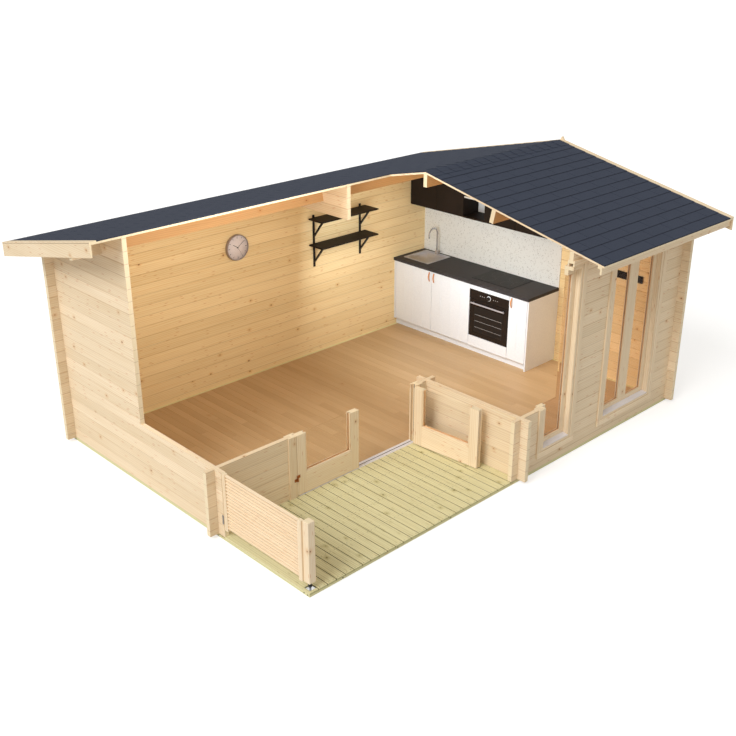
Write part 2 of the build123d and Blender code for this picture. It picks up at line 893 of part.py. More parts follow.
# Kitchen. Door fronts stand behind the nose of the worktop.
units_length = panel + narrow_door + oven_width + 2 * wide_door + 3 * front_gap + back_filler
worktop_x0 = inner_right - worktop_depth
worktop_y0 = inner_back - units_length
door_front = worktop_x0 + worktop_nose
door_rear = door_front + panel
case_front = door_rear + front_gap
unit_top = worktop_top - worktop_thickness
unit_bottom = base_height + plinth_height
end_panel_y1 = worktop_y0 + panel
narrow_y1 = end_panel_y1 + front_gap + narrow_door
oven_y0 = narrow_y1 + front_gap
oven_y1 = oven_y0 + oven_width
middle_y0 = oven_y1 + front_gap
middle_y1 = middle_y0 + wide_door - front_gap
left_door_y0 = middle_y1 + front_gap
left_door_y1 = left_door_y0 + wide_door - front_gap
back_filler_y0 = left_door_y1 + front_gap
upright_half = panel / 2

with BuildPart() as kitchen_carcass:
    block(case_front, inner_right, end_panel_y1, inner_back, unit_bottom, unit_bottom + panel)
    for y0, y1 in ((end_panel_y1, oven_y0), (oven_y1, inner_back)):
        block(inner_right - panel, inner_right, y0, y1, unit_bottom, unit_top)
    block(door_front, inner_right, worktop_y0, end_panel_y1, base_height, unit_top)
    block(door_front, inner_right, back_filler_y0, inner_back, unit_bottom, unit_top)
    block(case_front + plinth_recess, case_front + plinth_recess + panel, end_panel_y1,
          inner_back, base_height, unit_bottom)
    for y in (end_panel_y1 + upright_half, narrow_y1 + front_gap / 2, oven_y1 + front_gap / 2,
              back_filler_y0 - upright_half):
        block(case_front, inner_right, y - upright_half, y + upright_half, unit_bottom, unit_top)
    for z0, z1 in ((unit_bottom, oven_bottom), (oven_bottom + oven_height, unit_top)):
        block(door_front, case_front + panel, oven_y0, oven_y1, z0, z1)
    block(case_front, inner_right, oven_y0, oven_y1, oven_bottom - panel, oven_bottom)
finish(kitchen_carcass.part, "kitchen_carcass")


def strap_handle(y, z):
    """A strap of leather bowed out from a door front between its two ends."""
    with BuildSketch(Plane.XZ.offset(-(y + strap_width / 2))) as strap:
        with BuildLine():
            outer_x = door_front - strap_height
            ThreePointArc((door_front, z - strap_length / 2), (outer_x, z),
                          (door_front, z + strap_length / 2))
            Line((door_front, z + strap_length / 2),
                 (door_front, z + strap_length / 2 - strap_thickness * 2))
            ThreePointArc((door_front, z + strap_length / 2 - strap_thickness * 2),
                          (outer_x + strap_thickness, z),
                          (door_front, z - strap_length / 2 + strap_thickness * 2))
            Line((door_front, z - strap_length / 2 + strap_thickness * 2),
                 (door_front, z - strap_length / 2))
        make_face()
    extrude(strap.sketch, amount=strap_width)


def cupboard_door(y0, y1, hinge_at_y1):
    """A door front with a strap handle and hinge blocks near its hinged edge."""
    block(door_front, door_rear, y0, y1, unit_bottom + front_gap, unit_top - front_gap)
    handle_y = y0 + handle_inset if hinge_at_y1 else y1 - handle_inset
    strap_handle(handle_y, unit_top - front_gap - strap_length / 2 - handle_drop)
    hinge_y0 = y1 - hinge_block if hinge_at_y1 else y0
    for z in (unit_bottom + hinge_block_inset, unit_top - hinge_block_inset - hinge_block):
        block(door_rear, case_front - pad_clearance, hinge_y0, hinge_y0 + hinge_block,
              z, z + hinge_block)


with BuildPart() as cupboard_door_left:
    cupboard_door(left_door_y0, left_door_y1, True)
finish(cupboard_door_left.part, "cupboard_door_left")

with BuildPart() as cupboard_door_middle:
    cupboard_door(middle_y0, middle_y1, False)
finish(cupboard_door_middle.part, "cupboard_door_middle")

with BuildPart() as cupboard_door_narrow:
    cupboard_door(end_panel_y1 + front_gap, narrow_y1, False)
finish(cupboard_door_narrow.part, "cupboard_door_narrow")

# Oven: a shell with a control panel over the drop-down door
oven_door_top = oven_bottom + oven_height - oven_panel_height - front_gap
cavity_y0 = oven_y0 + oven_wall
cavity_y1 = oven_y1 - oven_wall
cavity_z0 = oven_bottom + oven_wall
cavity_z1 = oven_door_top - oven_wall
with BuildPart() as oven:
    block(case_front, case_front + oven_depth, oven_y0 + panel, oven_y1 - panel,
          oven_bottom, oven_bottom + oven_height)
    block(door_front, case_front, oven_y0, oven_y1,
          oven_door_top + front_gap, oven_bottom + oven_height)
    block(case_front, case_front + oven_depth - oven_wall, cavity_y0, cavity_y1,
          cavity_z0, cavity_z1, Mode.SUBTRACT)
finish(oven.part, "oven")

with BuildPart() as oven_door:
    block(door_front, door_rear, oven_y0 + front_gap, oven_y1 - front_gap,
          oven_bottom + front_gap, oven_door_top)
    bar_z = oven_door_top - oven_bar_drop
    bar_x = door_front - oven_bar_reach
    post_half = oven_bar_post / 2
    with Locations(Plane((bar_x, (oven_y0 + oven_y1) / 2, bar_z), z_dir=(0, 1, 0))):
        Cylinder(oven_bar_radius, oven_width - 2 * oven_bar_inset)
    for y in (oven_y0 + oven_bar_post_inset, oven_y1 - oven_bar_post_inset):
        block(bar_x, door_front, y - post_half, y + post_half,
              bar_z - post_half, bar_z + post_half)
    for y in (oven_y0 + oven_hinge_inset, oven_y1 - oven_hinge_inset - hinge_block):
        block(door_rear, case_front - pad_clearance, y,
              y + hinge_block, oven_bottom + front_gap, oven_bottom + front_gap + hinge_block)
finish(oven_door.part, "oven_door")

# Worktop with the sink opening
sink_x0 = worktop_x0 + sink_front_margin
sink_y1 = left_door_y1 - sink_in_cupboard
sink_x1 = sink_x0 + sink_size
sink_y0 = sink_y1 - sink_size
bowl_margin = (sink_size - sink_bowl) / 2
bowl_x0 = sink_x0 + bowl_margin
bowl_x1 = bowl_x0 + sink_bowl - bowl_margin
bowl_y0 = sink_y0 + bowl_margin
bowl_y1 = sink_y1 - bowl_margin
bowl_bottom = worktop_top - sink_depth
with BuildPart() as worktop:
    block(worktop_x0, inner_right, worktop_y0, inner_back, unit_top, worktop_top)
    block(bowl_x0 - sink_wall, bowl_x1 + sink_wall, bowl_y0 - sink_wall, bowl_y1 + sink_wall,
          unit_top, worktop_top, Mode.SUBTRACT)
finish(worktop.part, "worktop")

with BuildPart() as sink:
    block(sink_x0, sink_x1, sink_y0, sink_y1, worktop_top, worktop_top + sink_wall)
    block(bowl_x0 - sink_wall, bowl_x1 + sink_wall, bowl_y0 - sink_wall, bowl_y1 + sink_wall,
          bowl_bottom - sink_wall, worktop_top)
    block(bowl_x0, bowl_x1, bowl_y0, bowl_y1, bowl_bottom, worktop_top + sink_wall,
          Mode.SUBTRACT)
finish(sink.part, "sink")

tap_x = (bowl_x1 + sink_wall + sink_x1) / 2
tap_y = (sink_y0 + sink_y1) / 2
tap_base = worktop_top + sink_wall
with BuildPart() as tap:
    with BuildSketch(Plane.XY.offset(tap_base)):
        with Locations((tap_x, tap_y)):
            Circle(tap_radius * 2)
    extrude(amount=tap_flange)
    bend = tap_reach / 2
    with BuildLine(Plane.XZ.offset(-tap_y)):
        straight_top = tap_base + tap_height - bend
        Line((tap_x, tap_base), (tap_x, straight_top))
        CenterArc((tap_x - bend, straight_top), bend, 0, 180)
        Line((tap_x - tap_reach, straight_top), (tap_x - tap_reach, straight_top - tap_nose))
    with BuildSketch(Plane.XY.offset(tap_base)):
        with Locations((tap_x, tap_y)):
            Circle(tap_radius)
    sweep()
finish(tap.part, "tap")

hob_x0 = worktop_x0 + hob_front_margin
hob_y0 = worktop_y0 + hob_from_end
with BuildPart() as hob:
    block(hob_x0, hob_x0 + hob_depth, hob_y0, hob_y0 + hob_width, worktop_top,
          worktop_top + hob_thickness)
finish(hob.part, "hob")

cupboard_bottom = plate_height - cupboard_below_plate - cupboard_height
with BuildPart() as splashback:
    block(inner_right - splashback_thickness, inner_right, worktop_y0, inner_back,
          worktop_top, cupboard_bottom)
finish(splashback.part, "splashback")

# Wall cupboards: closed units with an open niche between them
cupboard_x0 = inner_right - cupboard_depth
cupboard_y1 = inner_back - cupboard_end_gap
niche_y1 = cupboard_y1 - 2 * cupboard_module
niche_y0 = niche_y1 - niche_width
with BuildPart() as wall_cupboards:
    block(cupboard_x0, inner_right, worktop_y0, cupboard_y1, cupboard_bottom,
          cupboard_bottom + cupboard_height)
    block(cupboard_x0, inner_right - panel, niche_y0 + panel, niche_y1 - panel,
          cupboard_bottom + panel, cupboard_bottom + cupboard_height - panel, Mode.SUBTRACT)
    rail_y = (worktop_y0 + inner_back) / 2
    rail_x = inner_right - splashback_thickness - rail_from_splashback
    rail_z = cupboard_bottom - rail_drop
    rail_length = inner_back - worktop_y0 - 2 * rail_end_margin
    hanger_reach = rail_length / 2 - rail_hanger_inset
    with Locations(Plane((rail_x, rail_y, rail_z), z_dir=(0, 1, 0))):
        Cylinder(rail_radius, rail_length)
    for y in (rail_y - hanger_reach, rail_y, rail_y + hanger_reach):
        with Locations((rail_x, y, (rail_z + cupboard_bottom) / 2)):
            Cylinder(rail_hanger_radius, cupboard_bottom - rail_z)
finish(wall_cupboards.part, "wall_cupboards")

# Two shelves on a pair of bracket frames on the back wall
shelf_x0 = terrace_x + log_thickness + shelf_from_beam
shelf_tops = (lower_shelf_top, upper_shelf_top)
frame_front_y = inner_back - shelf_frame_depth
with BuildPart() as wall_shelves:
    for top in shelf_tops:
        block(shelf_x0, shelf_x0 + shelf_length, inner_back - shelf_depth, frame_front_y,
              top - shelf_thickness, top)
finish(wall_shelves.part, "wall_shelves")

with BuildPart() as shelf_brackets:
    for x in (shelf_x0 + shelf_frame_inset, shelf_x0 + shelf_length - shelf_frame_inset):
        block(x - shelf_frame_bar / 2, x + shelf_frame_bar / 2, frame_front_y, inner_back,
              shelf_frame_bottom, shelf_frame_top)
        for top in shelf_tops:
            arm_top = top - shelf_thickness
            arm_reach = shelf_depth - shelf_front_margin
            brace_y = inner_back - arm_reach + brace_inset
            with BuildSketch(Plane.YZ.offset(x - shelf_frame_bar / 2)):
                with BuildLine():
                    Polyline(
                        (frame_front_y, arm_top),
                        (inner_back - arm_reach, arm_top),
                        (inner_back - arm_reach, arm_top - shelf_frame_depth),
                        (frame_front_y, arm_top - shelf_frame_depth),
                        close=True,
                    )
                make_face()
                with BuildLine():
                    Polyline(
                        (brace_y, arm_top - shelf_frame_depth),
                        (brace_y + brace_width, arm_top - shelf_frame_depth),
                        (frame_front_y, arm_top - arm_reach + brace_drop),
                        (frame_front_y, arm_top - arm_reach - brace_drop),
                        close=True,
                    )
                make_face()
            extrude(amount=shelf_frame_bar)
finish(shelf_brackets.part, "shelf_brackets")

# Round clock with a raised rim
with BuildPart() as wall_clock:
    clock_plane = Plane((left + clock_from_left, inner_back, clock_height), z_dir=(0, -1, 0))
    with BuildSketch(clock_plane):
        Circle(clock_radius)
    extrude(amount=clock_depth)
    with BuildSketch(clock_plane.offset(clock_depth - clock_recess)):
        Circle(clock_radius - clock_rim)
    extrude(amount=clock_recess, mode=Mode.SUBTRACT)
finish(wall_clock.part, "wall_clock")

with BuildPart() as coat_rail:
    rail_front = front + coat_rail_from_front
    block(inner_right - coat_rail_thickness, inner_right, rail_front,
          rail_front + coat_rail_length, coat_rail_centre - coat_rail_height / 2,
          coat_rail_centre + coat_rail_height / 2)
finish(coat_rail.part, "coat_rail")
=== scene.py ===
"""Looks of a cutaway log cabin: timber, shingles, glazing, kitchen, light and camera."""

import logging
import math
from dataclasses import dataclass
from enum import Enum
from typing import Any, Optional, Sequence, Union

import bmesh
import bpy
from mathutils import Matrix, Vector


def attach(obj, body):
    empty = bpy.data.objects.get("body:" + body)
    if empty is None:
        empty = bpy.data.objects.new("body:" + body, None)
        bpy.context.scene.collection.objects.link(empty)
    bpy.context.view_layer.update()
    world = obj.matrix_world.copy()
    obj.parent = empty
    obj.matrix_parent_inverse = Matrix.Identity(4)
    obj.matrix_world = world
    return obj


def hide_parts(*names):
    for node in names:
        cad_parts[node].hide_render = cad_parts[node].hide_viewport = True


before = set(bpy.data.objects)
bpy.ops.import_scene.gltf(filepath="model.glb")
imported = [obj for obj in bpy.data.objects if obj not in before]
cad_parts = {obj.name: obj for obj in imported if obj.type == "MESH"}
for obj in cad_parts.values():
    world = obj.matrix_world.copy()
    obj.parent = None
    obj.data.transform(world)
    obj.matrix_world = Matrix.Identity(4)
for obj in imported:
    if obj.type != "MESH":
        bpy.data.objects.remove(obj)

LOG = logging.getLogger("cabin")
Point = tuple[float, float, float]
Pair = tuple[float, float]
Colour = tuple[float, float, float]
Key = Union[int, str]
ORIGIN: Point = (0.0, 0.0, 0.0)
GOLDEN = 0.6180339


class Grain(Enum):
    """Direction in which the fibres of a piece of wood run."""

    X = 0
    Y = 1
    Z = 2


class Relief(Enum):
    """Kind of fine relief that a plain finish carries."""

    SMOOTH = "smooth"
    BRUSHED = "brushed"
    HIDE = "hide"
    FLECKED = "flecked"
    CLOUDED = "clouded"


@dataclass(frozen=True)
class Plan:
    """Planes that the sub-assemblies share, in metres."""

    left: float = -2.607
    right: float = 2.607
    front: float = -1.857
    back: float = 1.857
    inner_back: float = 1.813
    inner_right: float = 2.563
    terrace_x: float = -0.013
    terrace_y: float = -0.655
    cut_x: float = 0.609
    cut_y: float = 0.490
    low_top: float = 0.664
    base: float = 0.031
    deck_top: float = 0.036
    log: float = 0.114
    pitch: float = math.radians(12.34)
    ridge: float = 2.5413
    eave: float = 2.190
    cap_left: float = -2.843
    cap_right: float = 2.843
    verge: float = 2.893
    cap_top: float = 0.0304
    cover: float = 0.02252

    def roof_top(self, y: float) -> float:
        """Height of the top of the roof's CAD covering over a place in the plan."""
        return self.ridge - abs(y) * math.tan(self.pitch) + self.cover


PLAN = Plan()


def srgb(code: str) -> Colour:
    """Turn a screen colour into the linear one that a shader takes.

    Args:
        code: Red, green and blue as six hexadecimal digits.

    Returns:
        The linear colour.
    """
    def linear(value: float) -> float:
        """Undo the screen curve of one channel."""
        return value / 12.92 if value <= 0.04045 else ((value + 0.055) / 1.055) ** 2.4

    return tuple(linear(int(code[first:first + 2], 16) / 255.0) for first in (0, 2, 4))


class Wire:
    """Value that a node gives, with arithmetic that adds maths nodes to its sheet."""

    def __init__(self, sheet: "Sheet", socket: bpy.types.NodeSocket) -> None:
        """Keep the sheet and the socket."""
        self.sheet, self.socket = sheet, socket

    def __add__(self, other: Any) -> "Wire":
        """Return the sum."""
        return self.sheet.math("ADD", self, other)

    def __sub__(self, other: Any) -> "Wire":
        """Return the difference."""
        return self.sheet.math("SUBTRACT", self, other)

    def __rsub__(self, other: Any) -> "Wire":
        """Return a number less this value."""
        return self.sheet.math("SUBTRACT", other, self)

    def __mul__(self, other: Any) -> "Wire":
        """Return the product."""
        return self.sheet.math("MULTIPLY", self, other)

    def __truediv__(self, other: Any) -> "Wire":
        """Return the quotient."""
        return self.sheet.math("DIVIDE", self, other)

    def __abs__(self) -> "Wire":
        """Return the value without its sign."""
        return self.sheet.math("ABSOLUTE", self)


class Sheet:
    """Adds and joins the nodes of one tree."""

    def __init__(self, tree: bpy.types.NodeTree) -> None:
        """Keep the tree that is written to."""
        self.tree = tree

    def feed(self, node: bpy.types.Node, inputs: dict[Key, Any]) -> None:
        """Set or join inputs of a node.

        Args:
            node: The node.
            inputs: Values or wires by input name or index.
        """
        for key, value in inputs.items():
            if isinstance(value, Wire):
                self.tree.links.new(value.socket, node.inputs[key])
            else:
                node.inputs[key].default_value = value

    def node(self, kind: str, inputs: Optional[dict[Key, Any]] = None, **settings: Any) -> bpy.types.Node:
        """Add a node.

        Args:
            kind: Blender's name of the node type.
            inputs: Values or wires by input name or index.
            settings: Properties of the node.

        Returns:
            The node.
        """
        made = self.tree.nodes.new(kind)
        for key, value in settings.items():
            setattr(made, key, value)
        self.feed(made, inputs or {})
        return made

    def wire(self, kind: str, inputs: Optional[dict[Key, Any]] = None, output: Key = 0, **settings: Any) -> Wire:
        """Add a node as node() does and return the output of a name or index."""
        return Wire(self, self.node(kind, inputs, **settings).outputs[output])

    def math(self, operation: str, *terms: Any, clamp: bool = False) -> Wire:
        """Return the result of a maths node."""
        return self.wire("ShaderNodeMath", dict(enumerate(terms)), operation=operation, use_clamp=clamp)

    def vector(self, operation: str, first: Any, second: Any = ORIGIN, output: Key = 0) -> Wire:
        """Return the result of a vector maths node."""
        return self.wire("ShaderNodeVectorMath", {0: first, 1: second}, output, operation=operation)

    def ramp(self, value: Any, low: Any, high: Any, out_low: float = 0.0, out_high: float = 1.0) -> Wire:
        """Return a value eased from one range to another and clamped."""
        ends = {"Value": value, "From Min": low, "From Max": high, "To Min": out_low, "To Max": out_high}
        return self.wire("ShaderNodeMapRange", ends, interpolation_type="SMOOTHSTEP")

    def blend(self, factor: Any, first: Any, second: Any, mode: str = "MIX") -> Wire:
        """Return two colours blended by a factor."""
        first, second = (colour if isinstance(colour, Wire) else (*colour, 1.0) for colour in (first, second))
        return self.wire("ShaderNodeMix", {0: factor, 6: first, 7: second}, 2, data_type="RGBA", blend_type=mode)

    def noise(self, vector: Any, scale: Any, detail: float = 2.0, roughness: float = 0.5) -> Wire:
        """Return the value of a noise texture."""
        inputs = {"Vector": vector, "Scale": scale, "Detail": detail, "Roughness": roughness}
        return self.wire("ShaderNodeTexNoise", inputs)

    def chance(self, number: Any, output: str = "Value") -> Wire:
        """Return a random value or colour that belongs to a number."""
        return self.wire("ShaderNodeTexWhiteNoise", {"W": number}, output, noise_dimensions="1D")

    def bump(self, height: Any, strength: float, distance: float) -> Wire:
        """Return the normal that a height gives."""
        return self.wire("ShaderNodeBump", {"Strength": strength, "Distance": distance, "Height": height})

    def place(self) -> Wire:
        """Return the place on the object."""
        return self.wire("ShaderNodeTexCoord", output="Object")

    def board(self) -> Wire:
        """Return the shade number of the solid."""
        return self.wire("ShaderNodeAttribute", output="Fac", attribute_name="board")

    def seen(self) -> Wire:
        """Mark the rays that the camera casts, also through glass.

        Returns:
            1 on those rays, else 0.
        """
        path = self.node("ShaderNodeLightPath")
        rays = (Wire(self, path.outputs[kind]) for kind in ("Is Camera Ray", "Is Transmission Ray"))
        return self.math("MAXIMUM", *rays)

    def split(self, vector: Any) -> tuple[Wire, ...]:
        """Return the three components of a vector."""
        return tuple(Wire(self, socket) for socket in self.node("ShaderNodeSeparateXYZ", {0: vector}).outputs)

    def join(self, x: Any, y: Any, z: Any = 0.0) -> Wire:
        """Return a vector of three components."""
        return self.wire("ShaderNodeCombineXYZ", {0: x, 1: y, 2: z})

    def group(self, tree: bpy.types.NodeTree, **inputs: Any) -> dict[str, Wire]:
        """Add a node group and return its outputs by name."""
        made = self.node("ShaderNodeGroup", inputs, node_tree=tree)
        return {socket.name: Wire(self, socket) for socket in made.outputs}

    def close(self, **outputs: Wire) -> bpy.types.NodeTree:
        """Give a group its outputs.

        Args:
            outputs: What each output gives.

        Returns:
            The tree of the group.
        """
        for label in outputs:
            self.tree.interface.new_socket(name=label, in_out="OUTPUT", socket_type="NodeSocketFloat")
        self.node("NodeGroupOutput", outputs)
        return self.tree


def start_group(name: str, **inputs: Any) -> tuple[Any, ...]:
    """Start a shader node group.

    Args:
        name: Name of the group.
        inputs: Default of each input, a number or a vector.

    Returns:
        The sheet and a wire from each input.
    """
    tree = bpy.data.node_groups.new(name, "ShaderNodeTree")
    for label, default in inputs.items():
        kind = "NodeSocketFloat" if isinstance(default, float) else "NodeSocketVector"
        tree.interface.new_socket(name=label, in_out="INPUT", socket_type=kind).default_value = default
    sheet = Sheet(tree)
    start = sheet.node("NodeGroupInput")
    return sheet, *(Wire(sheet, start.outputs[label]) for label in inputs)


class Effects:
    """Shader groups that more than one finish uses, each built once."""

    def __init__(self) -> None:
        """Build all groups."""
        self.figure = self._figure()
        self.courses = self._courses()
        self.end_rings = self._end_rings()
        self.tooth = self._tooth()

    @staticmethod
    def _figure() -> bpy.types.NodeTree:
        """Build the figure of sawn softwood: fibres along X, knots and the sweep round them.

        Returns:
            The tree of the group.
        """
        sheet, place, board, knots, spread = start_group(
            "softwood_figure", Vector=ORIGIN, Board=0.0, Knots=0.3, Spread=0.5)
        shift = sheet.vector("MULTIPLY", sheet.chance(board, "Color"), (9.0, 5.0, 7.0))
        x, y, z = sheet.split(sheet.vector("ADD", place, shift))
        across = y + z

        def cell(long: Any, wide: float, randomness: float) -> tuple[Wire, ...]:
            """Find the nearest cell of a field.

            Args:
                long: Length of a cell.
                wide: Its width.
                randomness: How far the cells stray.

            Returns:
                The gaps along and across to its middle, and its two chances.
            """
            made = sheet.node("ShaderNodeTexVoronoi", voronoi_dimensions="2D")
            sheet.feed(made, {"Vector": sheet.join(x / long, across / wide), "Scale": 1.0, "Randomness": randomness})
            cell_x, cell_y, _ = sheet.split(Wire(sheet, made.outputs["Position"]))
            red, green, _ = sheet.split(Wire(sheet, made.outputs["Color"]))
            return x - cell_x * long, across - cell_y * wide, red, green

        def grain(along: float, sideways: Wire, *rest: float) -> Wire:
            """Return a noise that is stretched along the fibres."""
            return sheet.noise(sheet.join(x * along, sideways), 1.0, *rest)

        gap_x, gap_y, red, green = cell(spread, 0.105, 0.85)
        gap = sheet.vector("LENGTH", sheet.join(gap_x * 0.75, gap_y), output="Value")
        present = sheet.math("LESS_THAN", green, knots)
        knot = sheet.ramp(gap / (red * 0.0050 + 0.0032), 1.15, 0.75) * present
        halo = sheet.ramp(gap, 0.040, 0.0) * present
        bent = sheet.math("SIGN", gap_y) * halo * -0.010 + across
        rings = sheet.math("SINE", bent * 330.0 + grain(0.55, bent * 5.0, 2.0) * 26.0) * 0.5 + 0.5
        streak = grain(1.3, bent * 55.0, 4.0, 0.6) * 0.7 + rings * 0.30
        streak = sheet.math("ADD", streak, halo * 0.35, clamp=True)
        small_x, small_y, chance, _ = cell(0.17, 0.034, 0.9)
        small = sheet.vector("LENGTH", sheet.join(small_x / 0.032, small_y / 0.0044), output="Value")
        share = sheet.ramp(grain(1.6, across * 6.0, 1.0), 0.42, 0.64, 0.06, 0.60)
        fleck = sheet.ramp(small, 1.0, 0.35) * sheet.math("LESS_THAN", chance, share)
        fleck = sheet.math("MAXIMUM", fleck, sheet.math("POWER", halo, 3.0) * 0.6)
        tone = grain(0.9, across * 7.0, 2.0)
        return sheet.close(Streak=streak, Knot=knot, Tone=tone, Height=streak - knot * 0.5, Fleck=fleck)

    @staticmethod
    def _courses() -> bpy.types.NodeTree:
        """Build the numbering of boards or logs side by side, with the shade in their joints.

        Returns:
            The tree of the group.
        """
        sheet, across, pitch, offset, width = start_group(
            "board_courses", Across=0.0, Pitch=0.1, Offset=0.0, Joint=0.003)
        ratio = (across - offset) / pitch
        near = 0.5 - abs(sheet.math("FRACT", ratio) - 0.5)
        return sheet.close(Number=sheet.math("FLOOR", ratio), Joint=sheet.ramp(near * pitch / width, 1.3, 0.4))

    @staticmethod
    def _end_rings() -> bpy.types.NodeTree:
        """Build the year rings that show on a cut end.

        Returns:
            The tree of the group.
        """
        sheet, place, board = start_group("end_rings", Vector=ORIGIN, Board=0.0)
        _, y, z = sheet.split(place)
        shift_y, shift_z, _ = sheet.split(sheet.chance(board, "Color"))
        flat = sheet.join(shift_y * 0.3 + y, shift_z * 0.12 + z)
        wave = sheet.vector("LENGTH", flat, output="Value")
        return sheet.close(Rings=sheet.math("SINE", wave * 1300.0 + sheet.noise(flat, 14.0) * 9.0) * 0.5 + 0.5)

    @staticmethod
    def _tooth() -> bpy.types.NodeTree:
        """Build the fine tooth and the broad clouding of any surface, with a stretch.

        Returns:
            The tree of the group.
        """
        sheet, place, scale, stretch = start_group(
            "surface_tooth", Vector=ORIGIN, Scale=200.0, Stretch=(1.0, 1.0, 1.0))
        stretched = sheet.vector("MULTIPLY", place, stretch)
        cell = sheet.wire("ShaderNodeTexVoronoi", {"Vector": stretched, "Scale": scale}, "Distance")
        return sheet.close(Fine=sheet.noise(stretched, scale, 3.0), Cloud=sheet.noise(place, 3.1, 3.0), Cell=cell)


EFFECTS = Effects()
FINISHES: dict[str, bpy.types.Material] = {}


@dataclass(frozen=True)
class Finish:
    """Material that is built when a piece first asks for it."""

    name: str

    def make(self) -> bpy.types.Material:
        """Return the material, which is built the first time."""
        if self.name not in FINISHES:
            made = FINISHES[self.name] = bpy.data.materials.new(self.name)
            made.use_nodes = True
            sheet = Sheet(made.node_tree)
            sheet.feed(made.node_tree.nodes["Principled BSDF"], self.paint(sheet))
        return FINISHES[self.name]

    def paint(self, sheet: Sheet) -> dict[Key, Any]:
        """Add the nodes and return what the Principled shader takes."""
        raise NotImplementedError


@dataclass(frozen=True)
class Rows:
    """Boards or logs side by side in one solid."""

    axis: Grain
    pitch: float
    offset: float
    joint: float = 0.003


@dataclass(frozen=True)
class Wood(Finish):
    """Finish of planed or treated softwood."""

    light: Colour = srgb("f3e0c2")
    dark: Colour = srgb("e0be8e")
    # Pale and dark colours of the faces toward the inside: painted warm room light on walls and roof boards, painted
    # shade under the roof on the purlins.
    inner_painted_pale: Colour = srgb("f8deac")
    inner_painted_dark: Colour = srgb("e8bc7c")
    knot_colour: Colour = srgb("844c2a")
    fleck_colour: Colour = srgb("cc884c")
    joint_colour: Colour = srgb("a07444")
    end_colour: Colour = srgb("f5e6c6")
    contrast: float = 0.55
    grain: Grain = Grain.X
    rows: Optional[Rows] = None
    inside: Optional[Point] = None
    knots: float = 0.16
    spread: float = 0.5
    flecks: float = 0.6
    joint_shade: float = 0.38
    gap_painted_shade: float = 0.0
    roughness: float = 0.52
    seed: float = 0.0

    def paint(self, sheet: Sheet) -> dict[Key, Any]:
        """Draw the figure, the joints, the cut ends, the painted room light and shade on the inner side, and the
        painted shade on board sides in open joints.

        Args:
            sheet: Sheet of the material.

        Returns:
            What the Principled shader takes.
        """
        facing = sheet.wire("ShaderNodeTexCoord", output="Normal")
        x, y, z = axes = sheet.split(sheet.place())
        along = sheet.join(*{Grain.X: (x, y, z), Grain.Y: (y, x, z), Grain.Z: (z, x, y)}[self.grain])
        if self.rows:
            courses = sheet.group(EFFECTS.courses, Across=axes[self.rows.axis.value], Pitch=self.rows.pitch,
                                  Offset=self.rows.offset, Joint=self.rows.joint)
            number = sheet.math("MULTIPLY_ADD", courses["Number"], 1.37, self.seed)
        else:
            number = sheet.math("MULTIPLY_ADD", sheet.board(), 97.0, self.seed)
        figure = sheet.group(EFFECTS.figure, Vector=along, Board=number, Knots=self.knots, Spread=self.spread)
        rings = sheet.group(EFFECTS.end_rings, Vector=along, Board=number)["Rings"]
        light, dark = self.light, self.dark
        # Painted light: faces toward the inside take the inner colours, warmer for the room's bounced light on walls
        # and roof boards, darker for the shade under the roof on the purlins.
        if self.inside:
            within = (sheet.math("LESS_THAN", abs(x), PLAN.right - 0.03)
                      * sheet.math("LESS_THAN", abs(y), PLAN.back - 0.03))
            toward = sheet.vector("DOT_PRODUCT", facing, self.inside, "Value")
            painted_indoor_mask = sheet.ramp(toward, 0.3, 0.7) * within
            light = sheet.blend(painted_indoor_mask, light, self.inner_painted_pale)
            dark = sheet.blend(painted_indoor_mask, dark, self.inner_painted_dark)
        colour = sheet.blend(sheet.ramp(figure["Streak"], 0.30, 0.80) * self.contrast, light, dark)
        colour = sheet.blend(figure["Fleck"] * self.flecks, colour, self.fleck_colour)
        wander = sheet.chance(number) * 0.12 + figure["Tone"] * 0.16 - 0.14
        shades = (wander * strength + 1.0 for strength in (1.0, 1.15, 1.5))
        colour = sheet.blend(1.0, colour, sheet.join(*shades), "MULTIPLY")
        cut = sheet.ramp(abs(sheet.split(facing)[self.grain.value]), 0.90, 0.97)
        colour = sheet.blend(cut, colour, sheet.blend(rings * 0.35, self.end_colour, self.dark))
        colour = sheet.blend(figure["Knot"] * (1.0 - cut) * 0.8, colour, self.knot_colour)
        height = figure["Height"]
        if self.rows:
            colour = sheet.blend(courses["Joint"] * self.joint_shade, colour, self.joint_colour)
            height = height - courses["Joint"] * 2.0
        # Painted shade: faces across X, the sides of boards in the open joints, are darkened toward the joint colour.
        if self.gap_painted_shade:
            side = sheet.ramp(abs(sheet.split(facing)[0]), 0.35, 0.8)
            colour = sheet.blend(side * self.gap_painted_shade, colour, self.joint_colour)
        return {"Base Color": colour, "Roughness": figure["Streak"] * 0.12 + (self.roughness - 0.06),
                "Specular IOR Level": 0.3, "Normal": sheet.bump(height, 0.35, 0.0006)}


